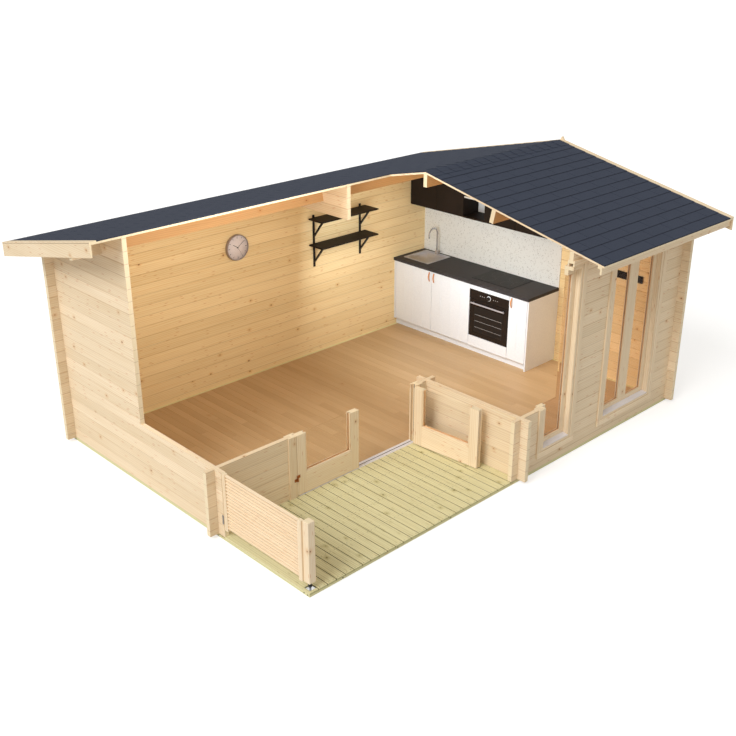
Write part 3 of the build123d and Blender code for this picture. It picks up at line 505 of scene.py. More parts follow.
@dataclass(frozen=True)
class Plain(Finish):
    """Finish of one colour with its own fine relief: metal, lacquer, stone, leather or plastic."""

    colour: Colour
    second: Colour
    relief: Relief = Relief.SMOOTH
    scale: float = 180.0
    roughness: float = 0.5
    metallic: float = 0.0
    coat: float = 0.0
    bump: float = 0.15
    depth: float = 0.0004
    specular: float = 0.5
    stretch: Point = (1.0, 1.0, 1.0)

    def paint(self, sheet: Sheet) -> dict[Key, Any]:
        """Mix the two colours by the relief.

        Args:
            sheet: Sheet of the material.

        Returns:
            What the Principled shader takes.
        """
        place = sheet.place()
        tooth = sheet.group(EFFECTS.tooth, Vector=place, Scale=self.scale, Stretch=self.stretch)
        height = fine = tooth["Fine"]
        if self.relief is Relief.FLECKED:
            mask = sheet.ramp(tooth["Cell"], 0.34, 0.22) * sheet.ramp(sheet.noise(place, 31.0), 0.50, 0.56)
        elif self.relief is Relief.HIDE:
            height = tooth["Cell"]
            mask = sheet.ramp(height, 0.1, 0.6)
        elif self.relief is Relief.CLOUDED:
            mask = sheet.ramp(tooth["Cloud"], 0.35, 0.65) * 0.6 + fine * 0.4
        else:
            mask = sheet.ramp(fine, 0.3, 0.7)
        return {"Base Color": sheet.blend(mask, self.colour, self.second), "Metallic": self.metallic,
                "Roughness": (fine + tooth["Cloud"]) * 0.12 + (self.roughness - 0.12), "Coat Weight": self.coat,
                "Specular IOR Level": self.specular, "Normal": sheet.bump(height, self.bump, self.depth)}


@dataclass(frozen=True)
class Mineral(Finish):
    """Finish of mineral-faced shingles: coarse granules, and a shade of each tab."""

    name: str = "shingle_granules"
    colour: Colour = srgb("333948")
    pale: Colour = srgb("3e4555")
    dark: Colour = srgb("22242d")
    exposure: float = 0.1443

    def paint(self, sheet: Sheet) -> dict[Key, Any]:
        """Draw the granules, the tabs' own shades and a painted shadow line under each course's butt edge.

        Args:
            sheet: Sheet of the material.

        Returns:
            What the Principled shader takes.
        """
        place = sheet.place()
        tooth = sheet.group(EFFECTS.tooth, Vector=place, Scale=420.0)
        colour = sheet.blend(sheet.ramp(tooth["Fine"], 0.35, 0.7), self.colour, self.pale)
        colour = sheet.blend(sheet.ramp(tooth["Cell"], 0.30, 0.05, 0.0, 0.5), colour, self.dark)
        shade = sheet.board() * 0.16 + tooth["Cloud"] * 0.12 + 0.86
        colour = sheet.blend(1.0, colour, sheet.join(shade, shade, shade), "MULTIPLY")
        # Painted shadow: a dark line just below each course's butt edge, where the tab above shades the course below.
        slope = (PLAN.eave - abs(sheet.split(place)[1])) / math.cos(PLAN.pitch)
        courses = sheet.group(EFFECTS.courses, Across=slope, Pitch=self.exposure, Offset=-0.004, Joint=0.005)
        return {"Base Color": sheet.blend(courses["Joint"] * 0.45, colour, self.dark), "Specular IOR Level": 0.25,
                "Roughness": tooth["Fine"] * 0.1 + 0.82, "Normal": sheet.bump(tooth["Fine"], 0.5, 0.0012)}


@dataclass(frozen=True)
class Pane(Finish):
    """Finish of a glass pane, clear or tinted, with faint dust in its gloss."""

    tint: Colour
    roughness: float = 0.02

    def paint(self, sheet: Sheet) -> dict[Key, Any]:
        """Let the light through and cloud the gloss.

        Args:
            sheet: Sheet of the material.

        Returns:
            What the Principled shader takes.
        """
        dust = sheet.group(EFFECTS.tooth, Vector=sheet.place(), Scale=40.0)["Cloud"]
        return {"Base Color": (*self.tint, 1.0), "Transmission Weight": 1.0, "IOR": 1.08,
                "Roughness": sheet.math("MULTIPLY_ADD", dust, 0.03, self.roughness - 0.01, clamp=True)}


@dataclass(frozen=True)
class Ground(Finish):
    """Finish of the studio floor: matt, and white to the camera."""

    def paint(self, sheet: Sheet) -> dict[Key, Any]:
        """Return a pale colour that glows where the camera sees it."""
        return {"Base Color": (0.62, 0.62, 0.62, 1.0), "Roughness": 0.9, "Emission Color": (1.0, 1.0, 1.0, 1.0),
                "Emission Strength": sheet.seen() * 0.55}


def logs(name: str, side: Point, seed: float, grain: Grain = Grain.X) -> Wood:
    """Return the finish of a log wall.

    Args:
        name: Name of the finish.
        side: Direction that the wall's inner side faces, which takes the painted room light.
        seed: Seed of its logs.
        grain: Direction of its logs. Those along Y lie half a log lower.

    Returns:
        The finish.
    """
    start = PLAN.base + (PLAN.log / 2 if grain is Grain.X else 0.0)
    return Wood(name, grain=grain, rows=Rows(Grain.Z, PLAN.log, start), inside=side, seed=seed)


TREATED: dict[str, Any] = {"light": srgb("e5ddb0"), "dark": srgb("c0b681"), "knot_colour": srgb("60542c"),
                           "fleck_colour": srgb("aa9c5c"), "end_colour": srgb("c4be8a"), "grain": Grain.Y, "knots": 0.2}


class Palette:
    """All finishes of the cabin."""

    back_wall = logs("back_wall_logs", (0, -1, 0), 11)
    front_wall = logs("front_wall_logs", (0, 1, 0), 23)
    left_wall = logs("left_wall_logs", (1, 0, 0), 31, Grain.Y)
    right_wall = logs("right_wall_logs", (-1, 0, 0), 47, Grain.Y)
    side_wall = logs("terrace_side_logs", (1, 0, 0), 53, Grain.Y)
    # Its inner colours are darker: painted shade under the roof on the faces toward the room.
    purlin = Wood("purlin_timber", inner_painted_pale=srgb("c89c6c"), inner_painted_dark=srgb("b08454"), inside=(0, -1, 0), seed=61)
    # Its underside takes the inner colours: painted warm room light.
    roof_board = Wood("roof_boards", grain=Grain.Y, rows=Rows(Grain.X, 0.096, PLAN.cut_x + 0.048, 0.002),
                      inside=(0, 0, -1), seed=67)
    sloping = Wood("verge_boards", grain=Grain.Y, seed=71)
    fascia = Wood("eave_boards", seed=73)
    upright = Wood("upright_timber", grain=Grain.Z, knots=0.22, seed=79)
    level_x = Wood("level_timber_x", knots=0.22, seed=83)
    level_y = Wood("level_timber_y", grain=Grain.Y, knots=0.22, seed=89)
    slat = Wood("slat_timber", light=srgb("eed9ba"), dark=srgb("d8b68a"), grain=Grain.Y, knots=0.1, flecks=0.3, seed=91)
    base = Wood("base_timber_x", light=srgb("ece6b6"), dark=srgb("ccc68e"), end_colour=srgb("e0daaa"), seed=97)
    # Its joint colour serves as the painted shade on the board sides in the open joints.
    deck = Wood("deck_boards", joint_colour=srgb("76683e"), contrast=0.75, spread=0.35, gap_painted_shade=0.8, seed=103,
                **TREATED)
    deck_edge = Wood("deck_edge_board", contrast=0.6, seed=104, **TREATED)
    floor = Wood("floor_planks", light=srgb("c1a179"), dark=srgb("ae8c62"), joint_colour=srgb("8c6c46"),
                 grain=Grain.Y, contrast=0.45, knots=0.06, flecks=0.3, roughness=0.42, seed=107)
    shingle = Mineral()
    clear = Pane("door_pane", (0.97, 0.97, 0.96))
    tinted = Pane("window_pane", srgb("eaded6"))
    aluminium = Plain("sill_aluminium", srgb("ece8ea"), srgb("e0dcdf"), Relief.BRUSHED, 300.0, 0.5, bump=0.05,
                      stretch=(0.05, 1, 1))
    zinc = Plain("zinc_plate", srgb("b0b4bc"), srgb("8e929c"), Relief.CLOUDED, 120.0, 0.42, 0.85)
    steel = Plain("black_steel_thread", srgb("4a4c54"), srgb("34363c"), scale=300.0, roughness=0.45, metallic=0.8)
    bronze = Plain("hinge_bronze", srgb("ba7646"), srgb("965830"), Relief.BRUSHED, 260.0, 0.36, 0.85)
    rubber = Plain("seal_rubber", srgb("2c2622"), srgb("1e1a18"), scale=300.0, roughness=0.7)
    # Brown of the leaf edge seals, and the painted shadow strip in the verge seams.
    seal_and_seam_shadow = Plain("edge_seal_and_seam_shadow", srgb("967c5c"), srgb("80684c"), scale=300.0, roughness=0.7)
    bead = Plain("glazing_seal", srgb("f6be7e"), srgb("e8a868"), scale=300.0, roughness=0.6)
    lacquer = Plain("white_lacquer", srgb("eaedf2"), srgb("e4e7ed"), scale=90.0, roughness=0.38, coat=0.15, bump=0.05)
    laminate = Plain("worktop_finish", srgb("383536"), srgb("423f40"), Relief.CLOUDED, 240.0, bump=0.05, specular=0.12)
    stainless = Plain("stainless_steel", srgb("c4c2ca"), srgb("b0aeb6"), Relief.BRUSHED, 320.0, 0.36, 0.35,
                      stretch=(0.06, 1, 1))
    chrome = Plain("polished_steel", srgb("c8c8ce"), srgb("babac0"), scale=200.0, roughness=0.2, metallic=0.7,
                   bump=0.03)
    black_glass = Plain("oven_glass", srgb("221c19"), srgb("261f1c"), scale=60.0, roughness=0.18, bump=0.02,
                        specular=0.22)
    hob_glass = Plain("hob_glass", srgb("211f1f"), srgb("262424"), scale=60.0, roughness=0.4, bump=0.02, specular=0.1)
    enamel = Plain("enamel_coat", srgb("221e1c"), srgb("282321"), scale=260.0, roughness=0.42, bump=0.05, specular=0.15)
    terrazzo = Plain("flecked_panel", srgb("e8e7e2"), srgb("8c8478"), Relief.FLECKED, 85.0, 0.45, bump=0.06)
    black_board = Plain("stained_board", srgb("221c18"), srgb("2a221e"), Relief.CLOUDED, 160.0, 0.55, bump=0.05,
                        specular=0.1)
    niche = Plain("niche_lining", srgb("e8e4e0"), srgb("dedad6"), scale=120.0)
    leather = Plain("strap_leather", srgb("de9e68"), srgb("c88450"), Relief.HIDE, 900.0, bump=0.4)
    dull_screw = Plain("dull_screw", srgb("968e6a"), srgb("827a5a"), scale=300.0, roughness=0.6, metallic=0.2)
    clock_rim = Plain("clock_rim", srgb("aca09e"), srgb("9e9290"), Relief.BRUSHED, 200.0, 0.4, 0.3)
    clock_face = Plain("clock_face", srgb("eee3e2"), srgb("e6dbda"), scale=90.0, roughness=0.6, bump=0.04)
    ink = Plain("dial_ink", srgb("342e2e"), srgb("2a2626"), scale=200.0, roughness=0.6)
    print_grey = Plain("dial_print", srgb("bcb8b6"), srgb("aca8a6"), scale=200.0)
    ring_grey = Plain("hob_print", srgb("423c3a"), srgb("383331"), scale=200.0, roughness=0.4)


TIMBER = {Grain.X: Palette.level_x, Grain.Y: Palette.level_y, Grain.Z: Palette.upright}


def place_object(name: str, mesh: bpy.types.Mesh, body: str = "cabin", hides: Sequence[str] = ()) -> None:
    """Put a finished mesh in the scene as a piece.

    Args:
        name: Name of the piece.
        mesh: Mesh with its place in its points.
        body: CAD body that it moves with.
        hides: CAD nodes that it stands for.
    """
    made = bpy.data.objects.new(name, mesh)
    bpy.context.scene.collection.objects.link(made)
    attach(made, body)
    if hides:
        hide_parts(*hides)
    LOG.info("piece %s: %d faces", name, len(mesh.polygons))


def circle(radius: float, sides: int) -> list[Pair]:
    """Return the corners of a regular polygon."""
    angles = (2 * math.pi * step / sides for step in range(sides))
    return [(radius * math.cos(angle), radius * math.sin(angle)) for angle in angles]


def at(*place: float) -> Matrix:
    """Return the placement at a point."""
    return Matrix.Translation(place)


def turned(degrees: float, axis: str) -> Matrix:
    """Return a turn about a world axis."""
    return Matrix.Rotation(math.radians(degrees), 4, axis)


class Shape:
    """Collects solids in one mesh, each with its finish and its own shade number."""

    def __init__(self, name: str) -> None:
        """Start an empty mesh.

        Args:
            name: Name of the mesh and of the piece.
        """
        self.name = name
        self.bm = bmesh.new()
        self.board = self.bm.faces.layers.float.new("board")
        self.done = self.bm.faces.layers.int.new("marked")
        self.finishes: list[Finish] = []
        self.count = 0

    def _mark(self, finish: Finish, smooth: bool) -> None:
        """Give every new face its slot and the next shade number.

        Args:
            finish: Finish of the faces.
            smooth: Whether they shade smoothly.
        """
        if finish not in self.finishes:
            self.finishes.append(finish)
        self.count += 1
        for face in self.bm.faces:
            if not face[self.done]:
                face[self.done] = 1
                face[self.board] = self.count * GOLDEN % 1.0
                face.material_index = self.finishes.index(finish)
                face.smooth = smooth

    def box(self, low: Point, high: Point, finish: Finish, ease: float = 0.0015, steps: int = 1,
            turn: Optional[Matrix] = None) -> None:
        """Add a block with eased edges.

        Args:
            low: Lowest corner.
            high: Highest corner.
            finish: Its finish.
            ease: Width of the eased edges.
            steps: Facets of an eased edge.
            turn: Placement that is applied to it.
        """
        size = [max(b - a, 1e-5) for a, b in zip(low, high)]
        middle = [(b + a) / 2 for a, b in zip(low, high)]
        verts = bmesh.ops.create_cube(self.bm, size=1.0, matrix=at(*middle) @ Matrix.Diagonal((*size, 1.0)))["verts"]
        if turn is not None:
            bmesh.ops.transform(self.bm, matrix=turn, verts=verts)
        width = min(ease, min(size) * 0.3)
        if width > 0:
            edges = list({edge for vert in verts for edge in vert.link_edges})
            bmesh.ops.bevel(self.bm, geom=edges, offset=width, offset_type="OFFSET", segments=steps, affect="EDGES",
                            profile=0.5)
        self._mark(finish, False)

    def skin(self, rings: Sequence[Sequence[Point]], finish: Finish, smooth: bool = False, hollow: bool = False,
             turn: Optional[Matrix] = None, opposed: bool = False) -> None:
        """Add a solid that runs through closed rings of points.

        Args:
            rings: Rings of equal length, or of one point where the solid comes to a point.
            finish: Its finish.
            smooth: Whether its faces shade smoothly.
            hollow: Whether the last ring joins the first round an open middle.
            turn: Placement that is applied to it.
            opposed: Whether the first ring is closed the other way round than the last.
        """
        loops = [[self.bm.verts.new(point) for point in ring] for ring in rings]
        faces = []
        for low, high in zip(loops, loops[1:] + loops[:1] if hollow else loops[1:]):
            sides = max(len(low), len(high))
            for step in range(sides):
                after = (step + 1) % sides
                corners = (low[step % len(low)], low[after % len(low)], high[after % len(high)], high[step % len(high)])
                unique = list(dict.fromkeys(corners))
                if len(unique) > 2:
                    faces.append(self.bm.faces.new(unique))
        ends = () if hollow else (loops[-1], loops[0][::-1] if opposed else loops[0])
        faces += [self.bm.faces.new(loop) for loop in ends if len(loop) > 1]
        bmesh.ops.recalc_face_normals(self.bm, faces=faces)
        if turn is not None:
            bmesh.ops.transform(self.bm, matrix=turn, verts=[vert for loop in loops for vert in loop])
        self._mark(finish, smooth)

    def prism(self, outline: Sequence[Pair], axis: Grain, start: float, stop: float, finish: Finish,
              turn: Optional[Matrix] = None) -> None:
        """Add an outline drawn out along an axis.

        Args:
            outline: Corners in the plane across the axis: (y, z), (x, z) or (x, y).
            axis: Axis that it is drawn along.
            start: Where it begins on the axis.
            stop: Where it ends.
            finish: Its finish.
            turn: Placement that is applied to it.
        """
        place = axis.value
        rings = [[(*pair[:place], end, *pair[place:]) for pair in outline] for end in (start, stop)]
        self.skin(rings, finish, turn=turn)

    def lathe(self, profile: Sequence[Pair], placement: Matrix, finish: Finish, sides: int = 32, smooth: bool = True,
              hollow: bool = False) -> None:
        """Add a turned form about its local Z axis.

        Args:
            profile: Radius and height of each ring, from one closed end to the other.
            placement: Where the form stands.
            finish: Its finish.
            sides: Facets round the axis.
            smooth: Whether its faces shade smoothly.
            hollow: Whether the profile closes on itself round an open middle.
        """
        rings = [[placement @ Vector((a, b, height)) for a, b in (circle(radius, sides) if radius else [(0.0, 0.0)])]
                 for radius, height in profile]
        self.skin(rings, finish, smooth, hollow)

    def tube(self, path: Sequence[Point], radius: float, finish: Finish, sides: int = 12) -> None:
        """Add a round bar that follows points, closed at both ends.

        Args:
            path: Points of its centre line.
            radius: Its radius.
            finish: Its finish.
            sides: Facets round it.
        """
        points = [Vector(point) for point in path]
        rings = []
        side = Vector((0, 0, 1))
        for before, point, after in zip(points[:1] + points, points, points[1:] + points[-1:]):
            ahead = (after - before).normalized()
            if abs(ahead.dot(side)) > 0.95:
                side = Vector((0, 1, 0)) if abs(ahead.y) < 0.9 else Vector((1, 0, 0))
            out = ahead.cross(side).normalized()
            side = out.cross(ahead).normalized()
            rings.append([point + a * out + b * side for a, b in circle(radius, sides)])
        self.skin(rings, finish, True)

    def mesh(self) -> bpy.types.Mesh:
        """Finish the mesh and put the finishes in its slots.

        Returns:
            The mesh.
        """
        made = bpy.data.meshes.new(self.name)
        self.bm.faces.layers.int.remove(self.done)
        self.bm.to_mesh(made)
        self.bm.free()
        for finish in self.finishes:
            made.materials.append(finish.make())
        return made

    def piece(self, body: str = "cabin", hides: Sequence[str] = ()) -> None:
        """Put the shape in the scene as a piece on a body."""
        place_object(self.name, self.mesh(), body, hides)


class Repeater:
    """Geometry Nodes tree that sets a small item on a field of points."""

    def __init__(self, name: str) -> None:
        """Build the tree once.

        Args:
            name: Name of the tree.
        """
        self.tree = bpy.data.node_groups.new(name, "GeometryNodeTree")
        kinds = {"Points": "Geometry", "Item": "Object", "Wander": "Vector", "Seed": "Int", "Finish": "Material"}
        for label, kind in kinds.items():
            self.tree.interface.new_socket(name=label, in_out="INPUT", socket_type="NodeSocket" + kind)
        self.tree.interface.new_socket(name="Mesh", in_out="OUTPUT", socket_type="NodeSocketGeometry")
        sheet = Sheet(self.tree)
        start = sheet.node("NodeGroupInput")
        points, item, wander, seed, finish = (Wire(sheet, start.outputs[label]) for label in kinds)
        back = sheet.wire("ShaderNodeVectorMath", {0: wander, "Scale": -1.0}, operation="SCALE")
        turn = sheet.wire("FunctionNodeRandomValue", {0: back, 1: wander, "Seed": seed}, data_type="FLOAT_VECTOR")
        model = sheet.wire("GeometryNodeObjectInfo", {"Object": item}, "Geometry")
        placed = sheet.wire("GeometryNodeInstanceOnPoints", {"Points": points, "Instance": model, "Rotation": turn})
        shade = sheet.wire("FunctionNodeRandomValue", {"Seed": seed}, 1, data_type="FLOAT")
        named = sheet.node("GeometryNodeStoreNamedAttribute", {"Geometry": placed, "Name": "board"},
                           data_type="FLOAT", domain="INSTANCE")
        value = next(key for key, socket in enumerate(named.inputs) if socket.name == "Value" and socket.enabled)
        sheet.feed(named, {value: shade})
        real = sheet.wire("GeometryNodeRealizeInstances", {0: Wire(sheet, named.outputs[0])})
        dressed = sheet.wire("GeometryNodeSetMaterial", {"Geometry": real, "Material": finish})
        sheet.node("NodeGroupOutput", {0: dressed})

    def spread(self, name: str, points: Sequence[Point], item: Shape, finish: Finish, wander: Point = ORIGIN,
               seed: int = 7) -> bpy.types.Mesh:
        """Set the item on each point and return the plain mesh.

        Args:
            name: Name of the mesh.
            points: Where the items stand.
            item: The shape that repeats, about its own origin.
            finish: Finish of all items.
            wander: Most that each item's rotation strays.
            seed: Seed of the shades and strays.

        Returns:
            The realised mesh.
        """
        carrier_mesh = bpy.data.meshes.new(name + "_points")
        carrier_mesh.from_pydata(points, [], [])
        carrier = bpy.data.objects.new(name + "_points", carrier_mesh)
        model = bpy.data.objects.new(name + "_item", item.mesh())
        for made in (carrier, model):
            bpy.context.scene.collection.objects.link(made)
        modifier = carrier.modifiers.new("repeat", "NODES")
        modifier.node_group = self.tree
        values = {"Item": model, "Wander": wander, "Seed": seed, "Finish": finish.make()}
        for entry in self.tree.interface.items_tree:
            if entry.in_out == "INPUT" and entry.name in values:
                modifier[entry.identifier] = values[entry.name]
        result = bpy.data.meshes.new_from_object(carrier.evaluated_get(bpy.context.evaluated_depsgraph_get()))
        result.name = name
        carrier.modifiers.remove(modifier)
        for made in (carrier, model):
            bpy.data.objects.remove(made)
        return result


REPEAT = Repeater("set_items_on_points")


def clip(mesh: bpy.types.Mesh, *planes: tuple[Point, Point]) -> None:
    """Trim a mesh at planes and close the cuts.

    Args:
        mesh: Mesh that is trimmed.
        planes: Point and outward normal of each plane.
    """
    bm = bmesh.new()
    bm.from_mesh(mesh)
    for point, normal in planes:
        cut = bmesh.ops.bisect_plane(bm, geom=bm.verts[:] + bm.edges[:] + bm.faces[:], dist=1e-6, plane_co=point,
                                     plane_no=normal, clear_outer=True)
        rim = [part for part in cut["geom_cut"] if isinstance(part, bmesh.types.BMEdge)]
        bmesh.ops.holes_fill(bm, edges=rim, sides=0)
    bm.to_mesh(mesh)
    bm.free()


def dress(finish: Finish, *nodes: str) -> None:
    """Give CAD nodes a finish.

    Args:
        finish: The finish.
        nodes: Names of the nodes.
    """
    for node in nodes:
        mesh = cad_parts[node].data
        mesh.materials.clear()
        mesh.materials.append(finish.make())


@dataclass
class LogShell:
    """Log walls, purlins and the plain CAD timber of the cabin."""

    def build(self) -> None:
        """Dress the walls and the roof timber."""
        dress(Palette.back_wall, "back_wall")
        dress(Palette.front_wall, "front_wall", "front_wall_low", "recessed_wall_left", "recessed_wall_right")
        dress(Palette.left_wall, "left_wall", "left_wall_low", "cross_beam")
        dress(Palette.right_wall, "right_wall")
        dress(Palette.side_wall, "terrace_side_wall")
        dress(Palette.purlin, "ridge_purlin", "front_purlin", "back_purlin")
        dress(Palette.roof_board, "roof_boards_front", "roof_boards_back")
        dress(Palette.sloping, "left_bargeboard", "right_bargeboard_front", "right_bargeboard_back")
        dress(Palette.fascia, "front_fascia", "back_fascia")
        dress(Palette.base, "base_frame", "terrace_frame")
        dress(Palette.shingle, "roof_covering_front", "roof_covering_back")


@dataclass
class Deck:
    """Terrace boards with open joints and screws, and the boarded floor of the room."""

    boards: int = 27
    gap: float = 0.006
    thickness: float = 0.018
    edge: float = 0.026
    notch: float = 0.095
    wall_gap: float = 0.09
    bearer_pitch: float = 0.3005
    side_screws: tuple[float, ...] = (-1.835, -1.790)
    front_screws: tuple[float, ...] = (-2.25, -1.62, -0.95)
    floor_pitch: float = 0.0888
    floor_inset: float = 0.07

    def build(self) -> None:
        """Build the deck, its screws and the floor."""
        pitch = (PLAN.terrace_x - PLAN.left) / self.boards
        item = Shape("deck_board_item")
        item.box((self.gap / 2, 0, -self.thickness), (pitch - self.gap / 2, PLAN.terrace_y - PLAN.front, 0),
                 Palette.deck, 0.0025, 2)
        points = [(PLAN.left + index * pitch, PLAN.front, PLAN.deck_top) for index in range(1, self.boards)]
        boards = REPEAT.spread("deck_boards", points, item, Palette.deck, seed=5)
        place_object("deck_boards", boards, hides=("terrace_deck",))
        self._corner(pitch)
        self._screws(pitch)
        self._floor()

    def _corner(self, pitch: float) -> None:
        """Build the first board round the corner post, with the screws in the frame's sides.

        Args:
            pitch: Pitch of the boards.
        """
        corner = Shape("deck_corner_board")
        x0, y0, y1, z = PLAN.left, PLAN.front, PLAN.terrace_y, PLAN.deck_top
        x1, x2 = x0 + self.edge, x0 + pitch - self.gap / 2
        for low, high in (((x0, y0), (x1, y1 - self.wall_gap)), ((x1, y0), (x2, y0 + self.edge)),
                          ((x1, y0 + self.notch), (x2, y1))):
            corner.box((*low, z - self.thickness), (*high, z), Palette.deck_edge, 0.001)
        places = [at(x0, y, 0.012) @ turned(-90, "Y") for y in self.side_screws]
        places += [at(x, y0, 0.014) @ turned(90, "X") for x in self.front_screws]
        for place in places:
            corner.lathe([(0.0, 0.0008), (0.0055, 0.0008), (0.0065, 0.0)], place, Palette.rubber, 10, False)
        corner.piece()

    def _screws(self, pitch: float) -> None:
        """Set two countersunk screws in each board over each bearer.

        Args:
            pitch: Pitch of the boards.
        """
        head = Shape("deck_screw_item")
        profile = [(0, 0.0003), (0.0016, 0.0003), (0.0018, 0.0008), (0.0038, 0.0009), (0.0042, 0.0)]
        head.lathe(profile, Matrix.Identity(4), Palette.dull_screw, 8, False)
        bearers = [PLAN.front + 0.0225 + row * self.bearer_pitch for row in (1, 2, 3)]
        rows = [PLAN.front + 0.014, *bearers, PLAN.terrace_y - 0.12]
        points = [(PLAN.left + (index + share) * pitch, y, PLAN.deck_top - 0.0003)
                  for index in range(1, self.boards) for share in (0.25, 0.75) for y in rows]
        place_object("deck_screws", REPEAT.spread("deck_screws", points, head, Palette.dull_screw, (0, 0, 1.5)))

    def _floor(self) -> None:
        """Lay the floor boards round the terrace corner, each of two lengths."""
        inset = self.floor_inset
        x0, x1, corner = PLAN.left + inset, PLAN.right - inset, PLAN.terrace_x + inset
        y_room, y_front, y1 = PLAN.terrace_y + inset, PLAN.front + inset, PLAN.back - inset
        boards = Shape("floor_boards")
        for index in range(math.ceil((x1 - x0) / self.floor_pitch)):
            low = x0 + index * self.floor_pitch
            high = min(low + self.floor_pitch, x1)
            parts = [(low, high, y_front if low >= corner - 1e-6 else y_room)]
            if low < corner < high:
                parts = [(low, corner, y_room), (corner, high, y_front)]
            for a, b, y0 in parts:
                joint = y0 + (y1 - y0) * (0.25 + 0.5 * ((index * 0.382) % 1.0))
                for start, stop in ((y0, joint - 0.0003), (joint + 0.0003, y1)):
                    boards.box((a + 0.0004, start, PLAN.base - 0.018), (b - 0.0004, stop, PLAN.base), Palette.floor,
                               0.0012)
        boards.piece(hides=("floor",))


@dataclass
class ShingleRoof:
    """Shingle courses on both slopes, ridge caps and the verge tip."""

    tab: float = 0.333
    exposure: float = 0.1443
    gap: float = 0.0065
    thickness: float = 0.0034
    lap: float = 0.045
    cap_pitch: float = 0.1488
    cap_half: float = 0.137
    cap_rise: float = 0.0074
    tip_half: float = 0.028
    tip_rise: float = 0.032
    # Place and size of the painted shadow strips in the verge seams.
    seam_x: float = 2.9112
    seam_rise: float = 0.0184
    seam_half: float = 0.0016

    def build(self) -> None:
        """Lay both slopes and the ridge."""
        self._slope("shingles_front", 1.0, PLAN.cut_x, PLAN.cap_right, 0.0, 3)
        self._slope("shingles_back", -1.0, PLAN.cut_x, PLAN.cap_right, 0.0, 5)
        self._slope("shingles_back_strip", -1.0, PLAN.cap_left, PLAN.cut_x, PLAN.cut_y, 9)
        self._ridge()
        self._tip()
        self._seam_shadows()

    def _item(self) -> Shape:
        """Build one tab about the middle of its lower edge.

        Returns:
            The tab.
        """
        item = Shape("tab_item")
        half, rise, length = (self.tab - self.gap) / 2, self.thickness, self.exposure + self.lap
        outline = [(0.0, rise), (length, -0.0010), (length, 0.0012), (0.002, 2 * rise), (0.0, 2 * rise - 0.001)]
        item.prism(outline, Grain.X, -half, half, Palette.shingle)
        return item

    def _slope(self, name: str, side: float, x0: float, x1: float, top_y: float, seed: int) -> None:
        """Lay the courses of one slope between two places along the ridge.

        Args:
            name: Name of the piece.
            side: 1 for the front slope, -1 for the back slope.
            x0: Where the courses begin.
            x1: Where they end.
            top_y: Distance of their top edge from the ridge in the plan.
            seed: Seed of the tab shades.
        """
        rows = math.ceil((PLAN.eave - top_y) / math.cos(PLAN.pitch) / self.exposure)
        columns = math.ceil((x1 - x0) / self.tab) + 2
        points = []
        for row in range(rows):
            shift = (0.5 * (row % 2) + 0.07 * ((row * 0.618) % 1.0)) * self.tab
            points += [(index * self.tab + shift - self.tab, row * self.exposure, 0.0) for index in range(columns)]
        mesh = REPEAT.spread(name, points, self._item(), Palette.shingle, (0.0008, 0.0, 0.0), seed)
        across = Vector((side, 0, 0))
        up = Vector((0, side * math.cos(PLAN.pitch), math.sin(PLAN.pitch)))
        origin = at(x0 if side > 0 else x1, -side * PLAN.eave, PLAN.roof_top(PLAN.eave))
        mesh.transform(origin @ Matrix((across, up, across.cross(up))).transposed().to_4x4())
        clip(mesh, ((x0, 0, 0), (-1, 0, 0)), ((x1, 0, 0), (1, 0, 0)), ((0, -side * top_y, 0), (0, side, 0)))
        place_object(name, mesh)

    def _ridge(self) -> None:
        """Fold caps over the ridge, each lapping the next."""
        item = Shape("ridge_cap_item")
        profile = [(y, -abs(y) * math.tan(PLAN.pitch)) for y in (-self.cap_half, -0.03, 0.0, 0.03, self.cap_half)]
        profile[2] = (0.0, 0.001)
        length = self.cap_pitch + 0.03
        section = ((0.0, self.cap_rise), (0.0, self.cap_rise + 0.0034), (length, 0.0042), (length, 0.0010))
        item.skin([[(x, y, z + lift) for x, lift in section] for y, z in profile], Palette.shingle)
        count = math.ceil((PLAN.cap_right - PLAN.cut_x) / self.cap_pitch)
        points = [(PLAN.cut_x + index * self.cap_pitch, 0.0, PLAN.roof_top(0.0)) for index in range(count)]
        mesh = REPEAT.spread("ridge_caps", points, item, Palette.shingle, seed=13)
        clip(mesh, ((PLAN.cap_right, 0, 0), (1, 0, 0)))
        place_object("ridge_caps", mesh)

    def _tip(self) -> None:
        """Stand the pointed end of the bargeboards over the ridge at the right verge."""
        tip = Shape("verge_tip")
        base = PLAN.ridge + PLAN.cap_top
        outline = [(-self.tip_half, base - 0.008), (-0.004, base + self.tip_rise), (0.003, base + self.tip_rise),
                   (self.tip_half, base - 0.008)]
        tip.prism(outline, Grain.X, PLAN.verge - 0.006, PLAN.verge + 0.018, Palette.sloping)
        tip.piece()

    def _seam_shadows(self) -> None:
        """Draw a thin dark strip as painted shadow in the seam between each bargeboard and the cap strip on it."""
        seam_shadows = Shape("verge_seams")
        for x, y0, y1 in ((-self.seam_x, PLAN.cut_y + 0.002, PLAN.eave), (self.seam_x, 0.0, PLAN.eave),
                          (self.seam_x, -PLAN.eave, 0.0)):
            low, high = (PLAN.ridge - abs(y) * math.tan(PLAN.pitch) + self.seam_rise for y in (y0, y1))
            outline = [(y0, low - self.seam_half), (y1, high - self.seam_half), (y1, high + self.seam_half),
                       (y0, low + self.seam_half)]
            seam_shadows.prism(outline, Grain.X, x - 0.0004, x + 0.0004, Palette.seal_and_seam_shadow)
        seam_shadows.piece()


